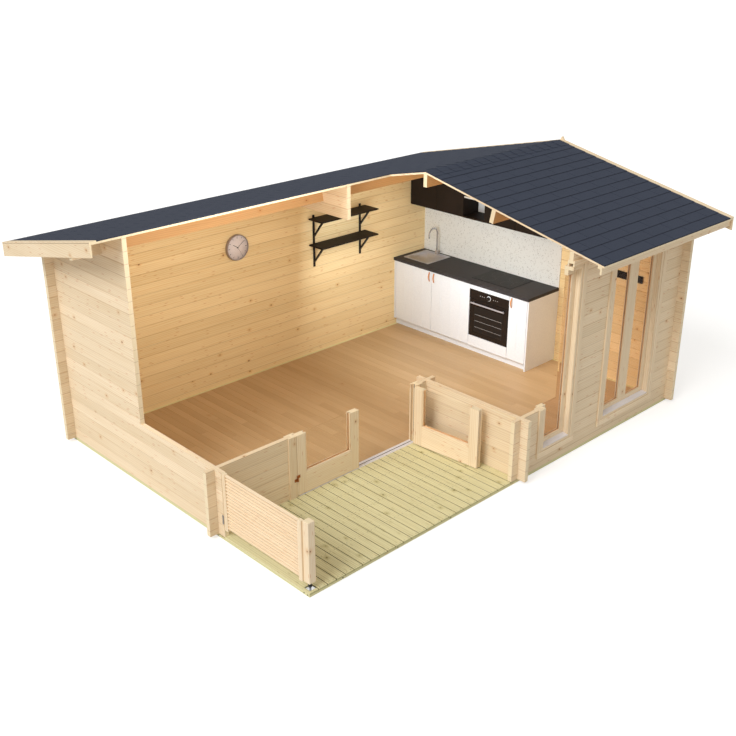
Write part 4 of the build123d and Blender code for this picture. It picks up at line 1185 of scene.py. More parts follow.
@dataclass
class Louvre:
    """Louvre screen, corner post and its adjustable foot."""

    x0: float = -2.603
    x1: float = -2.567
    y0: float = -1.767
    y1: float = -0.745
    stile: float = 0.042
    bottom: float = 0.102
    pitch: float = 0.032
    slats: int = 17
    slant: float = -31.0
    post_low: Point = (-2.587, -1.837, 0.100)
    post_high: Point = (-2.517, -1.767, 0.664)

    def build(self) -> None:
        """Build the screen, the post and the foot."""
        item = Shape("slat_item")
        length = self.y1 - self.y0 - 2 * self.stile
        item.box((-0.0125, 0.0, -0.0122), (0.0125, length, 0.0122), Palette.slat, 0.002, 2, turned(self.slant, "Y"))
        points = [((self.x0 + self.x1) / 2, self.y0 + self.stile, PLAN.low_top - (row + 0.5) * self.pitch)
                  for row in range(self.slats)]
        mesh = REPEAT.spread("louvre_slats", points, item, Palette.slat, seed=21)
        clip(mesh, ((0, 0, PLAN.low_top), (0, 0, 1)))
        place_object("louvre_slats", mesh, hides=("louvre_screen",))
        stiles = Shape("louvre_stiles")
        for y in (self.y0, self.y1 - self.stile):
            stiles.box((self.x0, y, self.bottom), (self.x1, y + self.stile, PLAN.low_top), Palette.upright, 0.002)
        stiles.piece()
        post = Shape("corner_post_timber")
        post.box(self.post_low, self.post_high, Palette.upright, 0.004, 2)
        post.piece(hides=("corner_post",))
        self._foot()
        self._bracket()

    def _foot(self) -> None:
        """Build the threaded foot with its nut and plates."""
        x, y = ((low + high) / 2 for low, high in zip(self.post_low[:2], self.post_high[:2]))
        foot, base, plate = Shape("post_foot_steel"), 0.006, 0.094
        for low, half, finish in ((0.0, 0.017, Palette.zinc), (plate, 0.025, Palette.steel)):
            foot.box((x - half, y - half, low), (x + half, y + half, low + 0.006), finish, 0.001)
        thread, height = [(0.0, 0.005)], base
        while height < plate:
            thread += [(0.0078, height), (0.0090, height + 0.0010)]
            height += 0.002
        foot.lathe(thread + [(0.0, 0.095)], at(x, y, 0), Palette.zinc, 24, False)
        nut = [(0.0, 0.05), (0.0155, 0.05), (0.017, 0.0515), (0.017, 0.0625), (0.0155, 0.064), (0.0, 0.064)]
        foot.lathe(nut, at(x, y, 0), Palette.steel, 6, False)
        collar = [(0.0, 0.066), (0.013, 0.066), (0.016, 0.072), (0.018, plate), (0.0, plate)]
        foot.lathe(collar, at(x, y, 0), Palette.steel, 20)
        foot.piece(hides=("post_foot",))

    def _bracket(self) -> None:
        """Build the plate that holds the screen to the wall, with its three screws."""
        plate = Shape("screen_bracket_plate")
        plate.box((PLAN.left - 0.0025, self.y1, 0.162), (PLAN.left, self.y1 + 0.020, 0.252), Palette.zinc, 0.0006)
        for z in (0.180, 0.207, 0.234):
            plate.lathe([(0.0, 0.0034), (0.003, 0.0034), (0.0042, 0.0025), (0.0042, 0.0)],
                        at(PLAN.left, self.y1 + 0.010, z) @ turned(-90, "Y"), Palette.zinc, 10, False)
        plate.piece(hides=("screen_bracket",))


@dataclass
class Leaf:
    """One glazed door leaf, drawn along its own length from its hinge pin."""

    name: str
    body: str
    node: str
    side: float
    pin: Pair
    angle: float
    width: float
    rail_grain: Grain
    face: float = 0.0083
    thickness: float = 0.056
    gap: float = 0.005
    stile: float = 0.102
    rail_top: float = 0.260
    bottom: float = 0.045
    bead: float = 0.012
    grooves: Pair = (0.0308, 0.0101)
    hinge_low: float = 0.2303

    def matrix(self) -> Matrix:
        """Find the placement of the leaf.

        Returns:
            The placement, with local X along the leaf and local Y away from the pin line.
        """
        turn = math.radians(self.angle)
        along = Vector((-self.side * math.cos(turn), -math.sin(turn), 0))
        inward = Vector((0, 0, 1)).cross(along) * -self.side
        return at(*self.pin, 0) @ Matrix((along, inward, Vector((0, 0, 1)))).transposed().to_4x4()

    def build(self) -> None:
        """Build the timber, the seals and the hinge barrel."""
        turn = self.matrix()
        front, back, top, edge = self.face, self.face + self.thickness, PLAN.low_top, self.width
        inner0, inner1, rail_top, lip = self.gap + self.stile, edge - self.stile, self.rail_top, self.bead
        timber = Shape(self.name + "_timber")
        outline = [(inner1, front), (edge - 0.002, front), (edge, front + 0.002)]
        for middle in self.grooves:
            low, high = back - middle - 0.005, back - middle + 0.005
            outline += [(edge, low), (edge - 0.008, low), (edge - 0.008, high), (edge, high)]
        outline += [(edge, back - 0.002), (edge - 0.002, back), (inner1, back)]
        timber.prism(outline, Grain.Z, self.bottom, top, Palette.upright, turn)
        timber.box((self.gap, front, self.bottom), (inner0, back, top), Palette.upright, 0.002, 1, turn)
        rail = TIMBER[self.rail_grain]
        timber.box((inner0, front, self.bottom), (inner1, back, rail_top), rail, 0.0015, 1, turn)
        for v0, v1 in ((front + 0.002, front + 0.0195), (front + 0.0365, back - 0.002)):
            timber.box((inner0, v0, rail_top), (inner1, v1, rail_top + lip), rail, 0.003, 1, turn)
            for u in (inner0, inner1 - lip):
                timber.box((u, v0, rail_top + lip), (u + lip, v1, top), Palette.upright, 0.003, 1, turn)
        timber.piece(self.body, (self.node,))
        seal = Shape(self.name + "_seals")
        low = rail_top + 0.010
        for v0, v1 in ((front + 0.0175, front + 0.0202), (front + 0.0358, front + 0.0385)):
            seal.box((inner0 + 0.001, v0, low), (inner1 - 0.001, v1, low + 0.006), Palette.bead, 0.0008, 1, turn)
            for u in (inner0 + 0.010, inner1 - 0.016):
                seal.box((u, v0, low), (u + 0.006, v1, top), Palette.bead, 0.0008, 1, turn)
        for middle in self.grooves:
            v = back - middle
            seal.box((edge - 0.0082, v - 0.0042, self.bottom + 0.001), (edge - 0.0045, v + 0.0042, top - 0.001),
                     Palette.seal_and_seam_shadow, 0.001, 1, turn)
        seal.piece(self.body)
        hinge = Shape(self.name + "_hinge")
        low, high = self.hinge_low, rail_top
        hinge.box((0.0, front - 0.003, low), (0.034, front, high), Palette.bronze, 0.0008, 1, turn)
        barrel = [(0.00405, low), (0.0072, low), (0.008, low + 0.001), (0.008, high - 0.002), (0.0065, high),
                  (0.0, high + 0.0012)]
        hinge.lathe(barrel, turn, Palette.bronze, 24)
        hinge.piece(self.body)


@dataclass
class Entrance:
    """Door frame seals, threshold and both leaves."""

    pin_y: float = -0.6793
    pin_left: float = -1.727
    pin_right: float = -0.162
    sill_front: float = -0.671
    sill_back: float = -0.595
    seal_y: float = -0.636

    def build(self) -> None:
        """Build the entrance."""
        dress(Palette.upright, "door_frame")
        dress(Palette.bronze, "door_hinges")
        dress(Palette.clear, "door_glass_left", "door_glass_right")
        for side, turn, x, angle, width, grain in (("left", -1.0, self.pin_left, 0.0, 0.770, Grain.X),
                                                   ("right", 1.0, self.pin_right, 95.0, 0.790, Grain.Y)):
            pin = (x, self.pin_y)
            Leaf(f"leaf_{side}", f"{side}_leaf", f"door_leaf_{side}", turn, pin, angle, width, grain).build()
        x0, x1 = self.pin_left + 0.025, self.pin_right - 0.025
        front, back, low = self.sill_front, self.sill_back, PLAN.base
        sill = Shape("threshold_rail")
        raised, sunk = low + 0.010, low + 0.007
        outline = [(front, PLAN.deck_top), (front + 0.004, raised), (front + 0.030, raised), (front + 0.032, sunk),
                   (front + 0.044, sunk), (front + 0.046, raised), (back - 0.002, raised), (back, low + 0.008),
                   (back, low), (PLAN.terrace_y, low), (PLAN.terrace_y, PLAN.deck_top)]
        sill.prism(outline, Grain.X, x0, x1, Palette.aluminium)
        sill.box((x0 + 0.001, front + 0.035, low + 0.0065), (x1 - 0.001, front + 0.041, low + 0.0095), Palette.rubber,
                 0.001)
        sill.piece(hides=("threshold",))
        seals = Shape("door_frame_seals")
        for x in (self.pin_left, self.pin_right - 0.004):
            seals.box((x, self.seal_y, low + 0.012), (x + 0.004, self.seal_y + 0.006, PLAN.low_top - 0.001),
                      Palette.rubber, 0.001)
        seals.piece()


@dataclass
class Window:
    """One window: casings, frame, sash, beads and seals."""

    name: str
    centre: float
    panes: int
    cut: Optional[float] = None
    pane: float = 0.280
    mullion: float = 0.136
    sash: float = 0.056
    lining: float = 0.034
    casing: float = 0.094
    bottom: float = 0.202
    top: float = 1.9955
    wall_front: float = -1.857
    wall_back: float = -1.813
    sash_front: float = -1.813
    sash_back: float = -1.769
    face: float = 0.016
    step: float = 0.034

    def _bar(self, shape: Shape, low: Point, high: Point, finish: Finish, ease: float = 0.002) -> None:
        """Add a bar, cut down to the section planes where it crosses them.

        Args:
            shape: Shape that it joins.
            low: Lowest corner.
            high: Highest corner.
            finish: Its finish.
            ease: Width of its eased edges.
        """
        if self.cut is None or low[0] >= self.cut or high[2] <= PLAN.low_top:
            shape.box(low, high, finish, ease)
            return
        if low[2] < PLAN.low_top:
            shape.box(low, (min(high[0], self.cut), high[1], PLAN.low_top), finish, ease)
        if high[0] > self.cut:
            shape.box((self.cut, low[1], low[2]), high, finish, ease)

    def _ring(self, shape: Shape, depth: Pair, outer: tuple[float, ...], inner: tuple[float, ...],
              ease: float = 0.002) -> None:
        """Add the bottom, the top, the left and the right bar of a frame.

        Args:
            shape: Shape that they join.
            depth: Front and back.
            outer: Half width, bottom and top of the outside.
            inner: Half width, bottom and top of the inside.
            ease: Width of their eased edges.
        """
        (front, back), c = depth, self.centre
        wide, low, high = outer
        clear, sill, head = inner
        self._bar(shape, (c - wide, front, low), (c + wide, back, sill), Palette.level_x, ease)
        self._bar(shape, (c - wide, front, head), (c + wide, back, high), Palette.level_x, ease)
        self._bar(shape, (c - wide, front, sill), (c - clear, back, head), Palette.upright, ease)
        self._bar(shape, (c + clear, front, sill), (c + wide, back, head), Palette.upright, ease)

    def build(self) -> None:
        """Build the frame and the sash."""
        clear = self.panes * self.pane / 2 + (self.panes - 1) * self.mullion / 2 + self.sash
        half, outer, seam = clear + self.lining, clear + self.casing, clear + self.step
        low, high = self.bottom + self.lining, self.top - self.lining
        frame_shape = Shape(self.name + "_frame_timber")
        front, back = self.wall_front - self.face, self.wall_back + self.face
        for y0, y1, a, b in ((front + 0.005, self.wall_front, clear, seam - 0.0015),
                             (front, self.wall_front, seam + 0.0015, outer), (self.wall_back, back, half, outer)):
            near, far = a - clear, b - clear
            self._ring(frame_shape, (y0, y1), (b, low - far, high + far), (a, low - near, high + near))
        self._ring(frame_shape, (self.wall_front, self.sash_back), (half, self.bottom, self.top), (clear, low, high),
                   0.0005)
        frame_shape.piece(hides=(self.name + "_frame",))
        self._sash(clear, low, high)

    def _sash(self, clear: float, low: float, high: float) -> None:
        """Build the sash with its beads and seals.

        Args:
            clear: Half width of the sash.
            low: Its bottom.
            high: Its top.
        """
        y0, y1, z0, z1 = self.sash_front, self.sash_back, low + self.sash, high - self.sash
        bars = Shape(self.name + "_sash_timber")
        seals = Shape(self.name + "_seals")
        self._ring(bars, (y0, y1), (clear, low, high), (clear - self.sash, z0, z1))
        for index in range(self.panes):
            x = self.centre + (index - (self.panes - 1) / 2) * (self.pane + self.mullion)
            a, b = x - self.pane / 2, x + self.pane / 2
            if index:
                self._bar(bars, (a - self.mullion, y0, z0), (a, y1, z1), Palette.upright)
            for v0, v1 in ((y0 + 0.002, y0 + 0.0138), (y1 - 0.0138, y1 - 0.002)):
                self._bar(bars, (a, v0, z0), (b, v1, z0 + 0.010), Palette.level_x, 0.003)
                for u in (a, b - 0.010):
                    self._bar(bars, (u, v0, z0 + 0.010), (u + 0.010, v1, z1), Palette.upright, 0.003)
            v0, v1 = y0 + 0.0115, y0 + 0.0142
            self._bar(seals, (a + 0.001, v0, z0 + 0.008), (b - 0.001, v1, z0 + 0.015), Palette.bead, 0.0008)
            for u in (a + 0.008, b - 0.015):
                self._bar(seals, (u, v0, z0 + 0.010), (u + 0.007, v1, z1), Palette.bead, 0.0008)
        bars.piece(hides=(self.name + "_sash",))
        seals.piece()


@dataclass
class Cupboard:
    """One base cupboard door with grooves and a leather strap."""

    name: str
    body: str
    node: str
    y0: float
    y1: float
    hinge_high: bool
    groove_pitch: float = 0.155
    front: float = 2.004
    rear: float = 2.022
    pad: float = 2.0267
    block: float = 0.036
    low: float = 0.121
    high: float = 0.896

    def build(self) -> None:
        """Build the door, its hinge blocks and its strap."""
        door = Shape(self.name + "_board")
        y0, y1, front, ease = self.y0, self.y1, self.front, 0.0015
        outline = [(self.rear, y0), (self.rear, y1), (front + ease, y1), (front, y1 - ease)]
        count = max(1, round((y1 - y0) / self.groove_pitch))
        for index in range(count - 1, 0, -1):
            y = y0 + index * ((y1 - y0) / count)
            outline += [(front, y + 0.0025), (front + 0.003, y), (front, y - 0.0025)]
        outline += [(front, y0 + ease), (front + ease, y0)]
        door.prism(outline, Grain.Z, self.low, self.high, Palette.lacquer)
        start = y1 - self.block if self.hinge_high else y0
        for z in (0.216, 0.765):
            door.box((self.rear, start, z), (self.pad, start + self.block, z + self.block), Palette.zinc, 0.001)
        door.piece(self.body, (self.node,))
        self._strap()

    def _strap(self) -> None:
        """Bow a leather strap out from the door between two studs."""
        y = self.y0 + 0.036 if self.hinge_high else self.y1 - 0.036
        z0, z1 = self.high - 0.132, self.high - 0.012
        strap = Shape(self.name + "_strap")
        outer, inner = [], []
        for share in (index / 12 for index in range(13)):
            bow, z = math.sin(math.pi * share) ** 1.3, z0 + share * (z1 - z0)
            outer.append((self.front - 0.0034 - 0.0185 * bow, z))
            inner.append((self.front - 0.0004 - 0.0178 * bow, z))
        strap.prism(outer + inner[::-1], Grain.Y, y - 0.008, y + 0.008, Palette.leather)
        for z in (z0 + 0.008, z1 - 0.008):
            strap.lathe([(0.0, 0.0058), (0.003, 0.0054), (0.0042, 0.0038), (0.0042, 0.0)],
                        at(self.front, y, z) @ turned(-90, "Y"), Palette.bronze, 14)
        strap.piece(self.body)


@dataclass
class Kitchen:
    """Base units, oven, worktop, sink, hob, splashback and wall cupboards."""

    front: float = 2.004
    oven_y0: float = -0.061
    oven_y1: float = 0.534
    worktop_low: float = 0.901
    worktop_top: float = 0.939
    end: float = -0.351
    bowl_bottom: float = 0.7895
    unit_x: float = 2.263
    unit_y1: float = 1.793
    unit_z: Pair = (1.590, 2.090)
    niche_y: Pair = (0.583, 0.913)

    def build(self) -> None:
        """Build the kitchen."""
        dress(Palette.lacquer, "kitchen_carcass")
        dress(Palette.terrazzo, "splashback")
        dress(Palette.enamel, "oven")
        Cupboard("sink_cupboard_left", "sink_door_left", "cupboard_door_left", 1.164, 1.784, True).build()
        Cupboard("sink_cupboard_right", "sink_door_right", "cupboard_door_middle", 0.539, 1.159, False).build()
        Cupboard("narrow_cupboard", "narrow_door", "cupboard_door_narrow", -0.328, -0.066, False, 0.131).build()
        self._oven_door()
        self._oven_panel()
        self._worktop()
        self._sink()
        self._tap()
        self._hob()
        self._wall_cupboards()

    def _oven_door(self) -> None:
        """Build the glazed drop-down door with its bar."""
        y0, y1, x0 = self.oven_y0, self.oven_y1, self.front
        door = Shape("oven_door_glass")
        door.box((x0, y0 + 0.005, 0.255), (x0 + 0.018, y1 - 0.005, 0.722), Palette.black_glass, 0.0015, 2)
        door.box((x0 - 0.0002, y0 + 0.080, 0.315), (x0 + 0.004, y1 - 0.080, 0.640), Palette.enamel, 0.0005)
        for z in (0.375, 0.455, 0.535):
            door.box((x0 - 0.0006, y0 + 0.090, z), (x0 + 0.002, y1 - 0.090, z + 0.003), Palette.print_grey, 0.0003)
        for y in (y0 + 0.060, y1 - 0.096):
            door.box((x0 + 0.018, y, 0.255), (2.0267, y + 0.036, 0.291), Palette.zinc, 0.001)
        door.piece("oven_flap", ("oven_door",))
        bar = Shape("oven_bar")
        x, z, start, length = x0 - 0.034, 0.684, y0 + 0.040, y1 - y0 - 0.080
        bar.tube([(x, start + length * step / 8, z) for step in range(9)], 0.009, Palette.stainless, 20)
        for y in (y0 + 0.07, y1 - 0.07):
            bar.tube([(x, y, z), (x0 - 0.017, y, z), (x0, y, z)], 0.006, Palette.stainless, 16)
        bar.piece("oven_flap")

    def _oven_panel(self) -> None:
        """Add the control panel with its knob ring and touch marks."""
        x, y0, y1, middle = self.front, self.oven_y0, self.oven_y1, (self.oven_y0 + self.oven_y1) / 2
        panel = Shape("oven_panel")
        panel.box((x - 0.0012, y0, 0.728), (x + 0.003, y1, 0.844), Palette.black_glass, 0.001)
        face = at(x - 0.0012, middle, 0.786) @ turned(-90, "Y")
        panel.lathe([(0.0, 0.016), (0.021, 0.016), (0.023, 0.014), (0.024, 0.0)], face, Palette.enamel)
        ring = [(0.024, 0.0), (0.0245, 0.004), (0.030, 0.004), (0.031, 0.0)]
        panel.lathe(ring, face, Palette.lacquer, 40, hollow=True)
        for y in (middle + offset for offset in (-0.13, -0.10, -0.07, 0.07, 0.10, 0.13)):
            panel.box((x - 0.0016, y - 0.005, 0.782), (x - 0.001, y + 0.005, 0.790), Palette.print_grey, 0.0002)
        panel.piece()

    def _worktop(self) -> None:
        """Build the worktop with a rounded nose round the sink opening."""
        top = Shape("worktop_laminate")
        x0, x1, y0, y1 = 1.989, PLAN.inner_right, self.end, PLAN.inner_back
        z0, z1 = self.worktop_low, self.worktop_top
        bowl_x, bowl_x1, bowl_y, bowl_y1 = 2.1265, 2.4545, 1.3485, 1.7115
        nose = [(x0 + 0.004, z0), (x0, z0 + 0.005), (x0, z1 - 0.006), (x0 + 0.002, z1 - 0.002), (x0 + 0.006, z1),
                (bowl_x, z1), (bowl_x, z0)]
        top.prism(nose, Grain.Y, y0, y1, Palette.laminate)
        for low, high in (((bowl_x1, y0), (x1, y1)), ((bowl_x, y0), (bowl_x1, bowl_y)),
                          ((bowl_x, bowl_y1), (bowl_x1, y1))):
            top.box((*low, z0), (*high, z1), Palette.laminate, 0.0)
        top.piece(hides=("worktop",))

    def _sink(self) -> None:
        """Press a bowl with round corners and set its drain."""
        top, bottom = self.worktop_top, self.bowl_bottom
        rim, bowl = (2.093, 2.523, 1.315, 1.745), (2.130, 2.451, 1.352, 1.708)

        def loop(sides: tuple[float, ...], inset: float, radius: float, z: float) -> list[Point]:
            """Return a rounded rectangle of points at a height.

            Args:
                sides: Lowest and highest x, lowest and highest y.
                inset: How far it lies inside them.
                radius: Radius of its corners.
                z: Its height.

            Returns:
                The points.
            """
            x0, x1 = sides[0] + inset + radius, sides[1] - inset - radius
            y0, y1 = sides[2] + inset + radius, sides[3] - inset - radius
            points = []
            for quarter, (x, y) in enumerate(((x1, y1), (x0, y1), (x0, y0), (x1, y0))):
                for angle in (math.radians(90 * quarter + step * 15) for step in range(7)):
                    points.append((x + radius * math.cos(angle), y + radius * math.sin(angle), z))
            return points

        sink = Shape("sink_steel")
        sink.skin([loop(rim, 0.0, 0.012, top), loop(rim, 0.0, 0.012, top + 0.0012),
                   loop(rim, 0.003, 0.010, top + 0.0018), loop(bowl, -0.004, 0.045, top + 0.0012),
                   loop(bowl, 0.0, 0.042, top - 0.004), loop(bowl, 0.004, 0.040, 0.815),
                   loop(bowl, 0.022, 0.032, bottom)], Palette.stainless, True, opposed=True)
        drain = [(0.0, 0.0015), (0.018, 0.0015), (0.022, 0.0035), (0.038, 0.0035), (0.042, 0.0)]
        sink.lathe(drain, at((bowl[0] + bowl[1]) / 2, (bowl[2] + bowl[3]) / 2, bottom), Palette.chrome, 28)
        sink.piece(hides=("sink",))

    def _tap(self) -> None:
        """Stand the tap with its swan neck and side lever."""
        tap = Shape("gooseneck_tap")
        x, y, base, bend = 2.4888, 1.53, self.worktop_top + 0.0015, 0.075
        foot = [(0.0, 0.0), (0.0235, 0.0), (0.0235, 0.004), (0.020, 0.007), (0.0185, 0.05), (0.012, 0.055),
                (0.0, 0.055)]
        tap.lathe([(radius, base + height) for radius, height in foot], at(x, y, 0), Palette.chrome, 28)
        straight = base + 0.350 - bend
        path = [(x, y, base + 0.05), (x, y, base + 0.15), (x, y, straight)]
        path += [(x - bend + bend * math.cos(angle), y, straight + bend * math.sin(angle))
                 for angle in map(math.radians, range(12, 181, 12))]
        path += [(x - 2 * bend, y, straight - drop) for drop in (0.02, 0.04)]
        tap.tube(path, 0.009, Palette.chrome, 18)
        lever = [(x, y - 0.015, base + 0.035), (x, y - 0.03, base + 0.038), (x - 0.002, y - 0.075, base + 0.052)]
        tap.tube(lever, 0.0042, Palette.chrome)
        tap.piece(hides=("tap",))

    def _hob(self) -> None:
        """Build the glass hob with its printed rings."""
        x0, y0, z = 2.101, 0.005, self.worktop_top
        hob = Shape("hob_glass")
        hob.box((x0, y0, z), (x0 + 0.430, y0 + 0.590, z + 0.004), Palette.hob_glass, 0.0015, 2)
        for x, y, radius in ((0.12, 0.15, 0.075), (0.31, 0.15, 0.09), (0.12, 0.43, 0.09), (0.31, 0.43, 0.075)):
            ring = [(radius, -0.0002), (radius, 0.0002), (radius + 0.0016, 0.0002), (radius + 0.0016, -0.0002)]
            hob.lathe(ring, at(x0 + x, y0 + y, z + 0.004), Palette.ring_grey, 48, hollow=True)
        hob.piece(hides=("hob",))

    def _wall_cupboards(self) -> None:
        """Build the wall units with their fronts, the niche and the rail."""
        x0, x1, board = self.unit_x, PLAN.inner_right, 0.018
        (z0, z1), (niche0, niche1) = self.unit_z, self.niche_y
        units = Shape("wall_cupboard_boards")
        for a, b in ((self.end, niche0), (niche1, self.unit_y1)):
            units.box((x0 + board, a, z0), (x1, b, z1), Palette.black_board, 0.001)
            half = (b - a) / 2
            for start in (a, a + half):
                units.box((x0, start + 0.0015, z0 + 0.0015), (x0 + 0.0178, start + half - 0.0015, z1 - 0.0015),
                          Palette.black_board, 0.0015, 2)
        for z in (z0, z1 - board):
            units.box((x0, niche0, z), (x1, niche1, z + board), Palette.black_board, 0.001)
        units.box((x0 + 0.01, niche0, 1.83), (x1 - board, niche1, 1.845), Palette.niche, 0.001)
        units.box((x1 - board, niche0, z0 + board), (x1, niche1, z1 - board), Palette.niche, 0.0)
        units.piece(hides=("wall_cupboards",))
        rail = Shape("hanging_rail")
        x, y, z, half = 2.525, 0.731, 1.545, 0.932
        rail.tube([(x, y - half + half * step / 5, z) for step in range(11)], 0.005, Palette.enamel)
        for hook in (y - half + 0.06, y, y + half - 0.06):
            rail.tube([(x, hook, z), (x, hook, 1.57), (x, hook, z0)], 0.004, Palette.enamel, 10)
        rail.piece()


@dataclass
class Fittings:
    """Shelves, wall clock and coat rail."""

    shelf_x: float = 0.573
    shelf_length: float = 0.9
    shelf_tops: Pair = (1.410, 1.722)
    clock_x: float = -0.467
    clock_z: float = 1.602
    clock_radius: float = 0.146
    rail_start: float = 0.425

    def build(self) -> None:
        """Build the fittings on the walls."""
        dress(Palette.enamel, "shelf_brackets")
        shelves = Shape("shelf_boards")
        x, y = self.shelf_x, PLAN.inner_back
        for top in self.shelf_tops:
            shelves.box((x, y - 0.250, top - 0.016), (x + self.shelf_length, y - 0.012, top), Palette.black_board,
                        0.0015, 2)
        shelves.piece(hides=("wall_shelves",))
        self._clock()
        rail = Shape("coat_rail_board")
        x, y = PLAN.inner_right, PLAN.front + self.rail_start
        rail.box((x - 0.018, y, 1.260), (x, y + 0.520, 1.340), Palette.black_board, 0.002, 2)
        rail.piece(hides=("coat_rail",))

    def _clock(self) -> None:
        """Build the rim, the face with its marks, and the hands."""
        clock, r = Shape("round_clock"), self.clock_radius
        place = at(self.clock_x, PLAN.inner_back, self.clock_z) @ turned(90, "X")
        rim = [(0.004, 0.0), (0.0, 0.006), (0.0, 0.034), (0.003, 0.041), (0.008, 0.042), (0.0105, 0.038),
               (0.011, 0.030), (0.011, 0.0)]
        clock.lathe([(r - inset, height) for inset, height in rim], place, Palette.clock_rim, 64)
        clock.lathe([(0.0, 0.0305), (r - 0.0105, 0.0305), (r - 0.0105, 0.0)], place, Palette.clock_face, 64)

        def stroke(angle: float, half: float, start: float, stop: float, low: float, high: float) -> None:
            """Add a stroke over the face.

            Args:
                angle: Its angle from twelve, clockwise in degrees.
                half: Half its width.
                start: Where it begins, outwards from the middle.
                stop: Where it ends.
                low: Its lower side over the wall.
                high: Its upper side.
            """
            clock.box((-half, start, low), (half, stop, high), Palette.ink, 0.0003, 1, place @ turned(-angle, "Z"))

        for hour in range(12):
            length = 0.016 if hour % 3 else 0.022
            stroke(30 * hour, 0.0022, r - 0.022 - length, r - 0.022, 0.0305, 0.0315)
        for angle, reach, half, height in ((304.5, 0.072, 0.0028, 0.0325), (54.0, 0.108, 0.0022, 0.0335),
                                           (150.0, 0.112, 0.0008, 0.0345)):
            stroke(angle, half, -0.016, reach, height - 0.0008, height)
        clock.lathe([(0.0, 0.037), (0.004, 0.037), (0.005, 0.035), (0.005, 0.030)], place, Palette.ink, 20)
        clock.piece(hides=("wall_clock",))


@dataclass(frozen=True)
class Fill:
    """Soft panel of light that the camera doesn't see."""

    name: str
    place: Point
    toward: Point
    size: Pair
    power: float
    colour: Colour

    def build(self, scene: bpy.types.Scene) -> None:
        """Hang the panel in the scene.

        Args:
            scene: The scene.
        """
        lamp = bpy.data.lights.new(self.name, "AREA")
        lamp.shape = "RECTANGLE"
        lamp.size, lamp.size_y = self.size
        lamp.energy = self.power
        lamp.color = self.colour
        made = bpy.data.objects.new(self.name, lamp)
        made.matrix_world = at(*self.place) @ Vector(self.toward).to_track_quat("-Z", "Y").to_matrix().to_4x4()
        made.visible_camera = made.visible_glossy = made.visible_transmission = False
        scene.collection.objects.link(made)


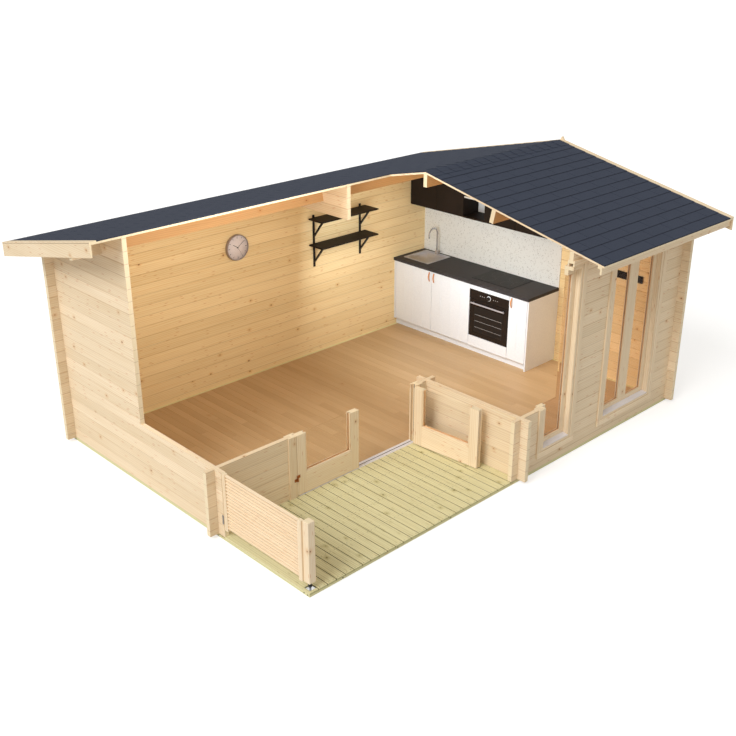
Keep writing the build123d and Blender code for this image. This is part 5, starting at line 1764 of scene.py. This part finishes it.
@dataclass
class Studio:
    """Floor, light and the camera at the photograph's angle."""

    camera_at: Point = (-6.8296, -6.9596, 4.9235)
    focal: float = 1017.43
    frame_width: float = 736.0
    sensor: float = 36.0
    pitch: float = math.radians(23.978)
    yaw: float = math.radians(43.626)
    roll: float = math.radians(-0.091)
    sky: float = 0.59
    sky_colour: Colour = (1.0, 0.975, 0.92)
    sun: float = 1.9
    sun_width: float = math.radians(32)
    sun_from: Point = (-0.75, -0.03, 0.66)
    floor_half: float = 60.0
    floor_z: float = -0.002
    fills: tuple[Fill, ...] = (
        Fill("room_fill_back", (-1.3, -0.62, 2.55), (0.0, 1.0, -0.12), (2.2, 0.5), 31.0, (1.0, 0.965, 0.90)),
        Fill("room_fill_right", (0.42, 0.50, 1.45), (1.0, 0.0, -0.10), (1.5, 0.8), 28.0, (0.83, 0.93, 1.0)),
        Fill("room_fill_end", (1.45, -1.56, 1.30), (0.15, 1.0, -0.05), (0.9, 0.9), 3.0, (0.85, 0.94, 1.0)),
    )

    def build(self) -> None:
        """Build the stage."""
        scene = bpy.context.scene
        scene.view_settings.view_transform = "Standard"
        self._camera(scene)
        self._world(scene)
        self._floor(scene)
        lamp = bpy.data.lights.new("window_light", "SUN")
        lamp.energy = self.sun
        lamp.angle = self.sun_width
        lamp.color = (0.98, 0.98, 0.98)
        made = bpy.data.objects.new("window_light", lamp)
        made.rotation_euler = Vector(self.sun_from).to_track_quat("Z", "Y").to_euler()
        scene.collection.objects.link(made)
        for fill in self.fills:
            fill.build(scene)

    def _camera(self, scene: bpy.types.Scene) -> None:
        """Stand the camera where the photograph was taken from.

        Args:
            scene: The scene.
        """
        data = bpy.data.cameras.new("camera")
        data.sensor_width = self.sensor
        data.lens = self.focal / self.frame_width * self.sensor
        data.clip_end = 200.0
        made = bpy.data.objects.new("camera", data)
        (cp, cy, cr), (sp, sy, sr) = ([turn(angle) for angle in (self.pitch, self.yaw, self.roll)]
                                      for turn in (math.cos, math.sin))
        ahead = Vector((sy * cp, cy * cp, -sp))
        right = Vector((cy, -sy, 0))
        up = right.cross(ahead)
        right, up = right * cr + up * sr, up * cr - right * sr
        made.matrix_world = at(*self.camera_at) @ Matrix((right, up, -ahead)).transposed().to_4x4()
        scene.collection.objects.link(made)
        scene.camera = made

    def _world(self, scene: bpy.types.Scene) -> None:
        """Light the scene evenly and show white behind it.

        Args:
            scene: The scene.
        """
        world = scene.world = bpy.data.worlds.new("studio")
        world.use_nodes = True
        world.node_tree.nodes.clear()
        sheet = Sheet(world.node_tree)
        seen = sheet.seen()
        back = sheet.wire("ShaderNodeBackground", {"Color": sheet.blend(seen, self.sky_colour, (1.0, 1.0, 1.0)),
                                                   "Strength": seen * (1.0 - self.sky) + self.sky})
        sheet.node("ShaderNodeOutputWorld", {0: back})

    def _floor(self, scene: bpy.types.Scene) -> None:
        """Lay a pale floor that shows white but keeps the shadow.

        Args:
            scene: The scene.
        """
        mesh = bpy.data.meshes.new("studio_floor")
        corners = [(x * self.floor_half, y * self.floor_half, self.floor_z)
                   for x, y in ((-1, -1), (1, -1), (1, 1), (-1, 1))]
        mesh.from_pydata(corners, [], [(0, 1, 2, 3)])
        mesh.materials.append(Ground("studio_floor").make())
        floor = bpy.data.objects.new("studio_floor", mesh)
        scene.collection.objects.link(floor)


def main() -> None:
    """Build every sub-assembly in order."""
    logging.basicConfig(level=logging.INFO, format="%(name)s %(message)s")
    for assembly in (LogShell(), Deck(), ShingleRoof(), Louvre(), Entrance(),
                     Window("window_small", 0.546, 1, PLAN.cut_x), Window("window_large", 1.749, 2)):
        assembly.build()
    dress(Palette.tinted, "window_glass")
    dress(Palette.aluminium, "window_sills")
    for assembly in (Kitchen(), Fittings(), Studio()):
        assembly.build()


if __name__ == "__main__":
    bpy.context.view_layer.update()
    main()
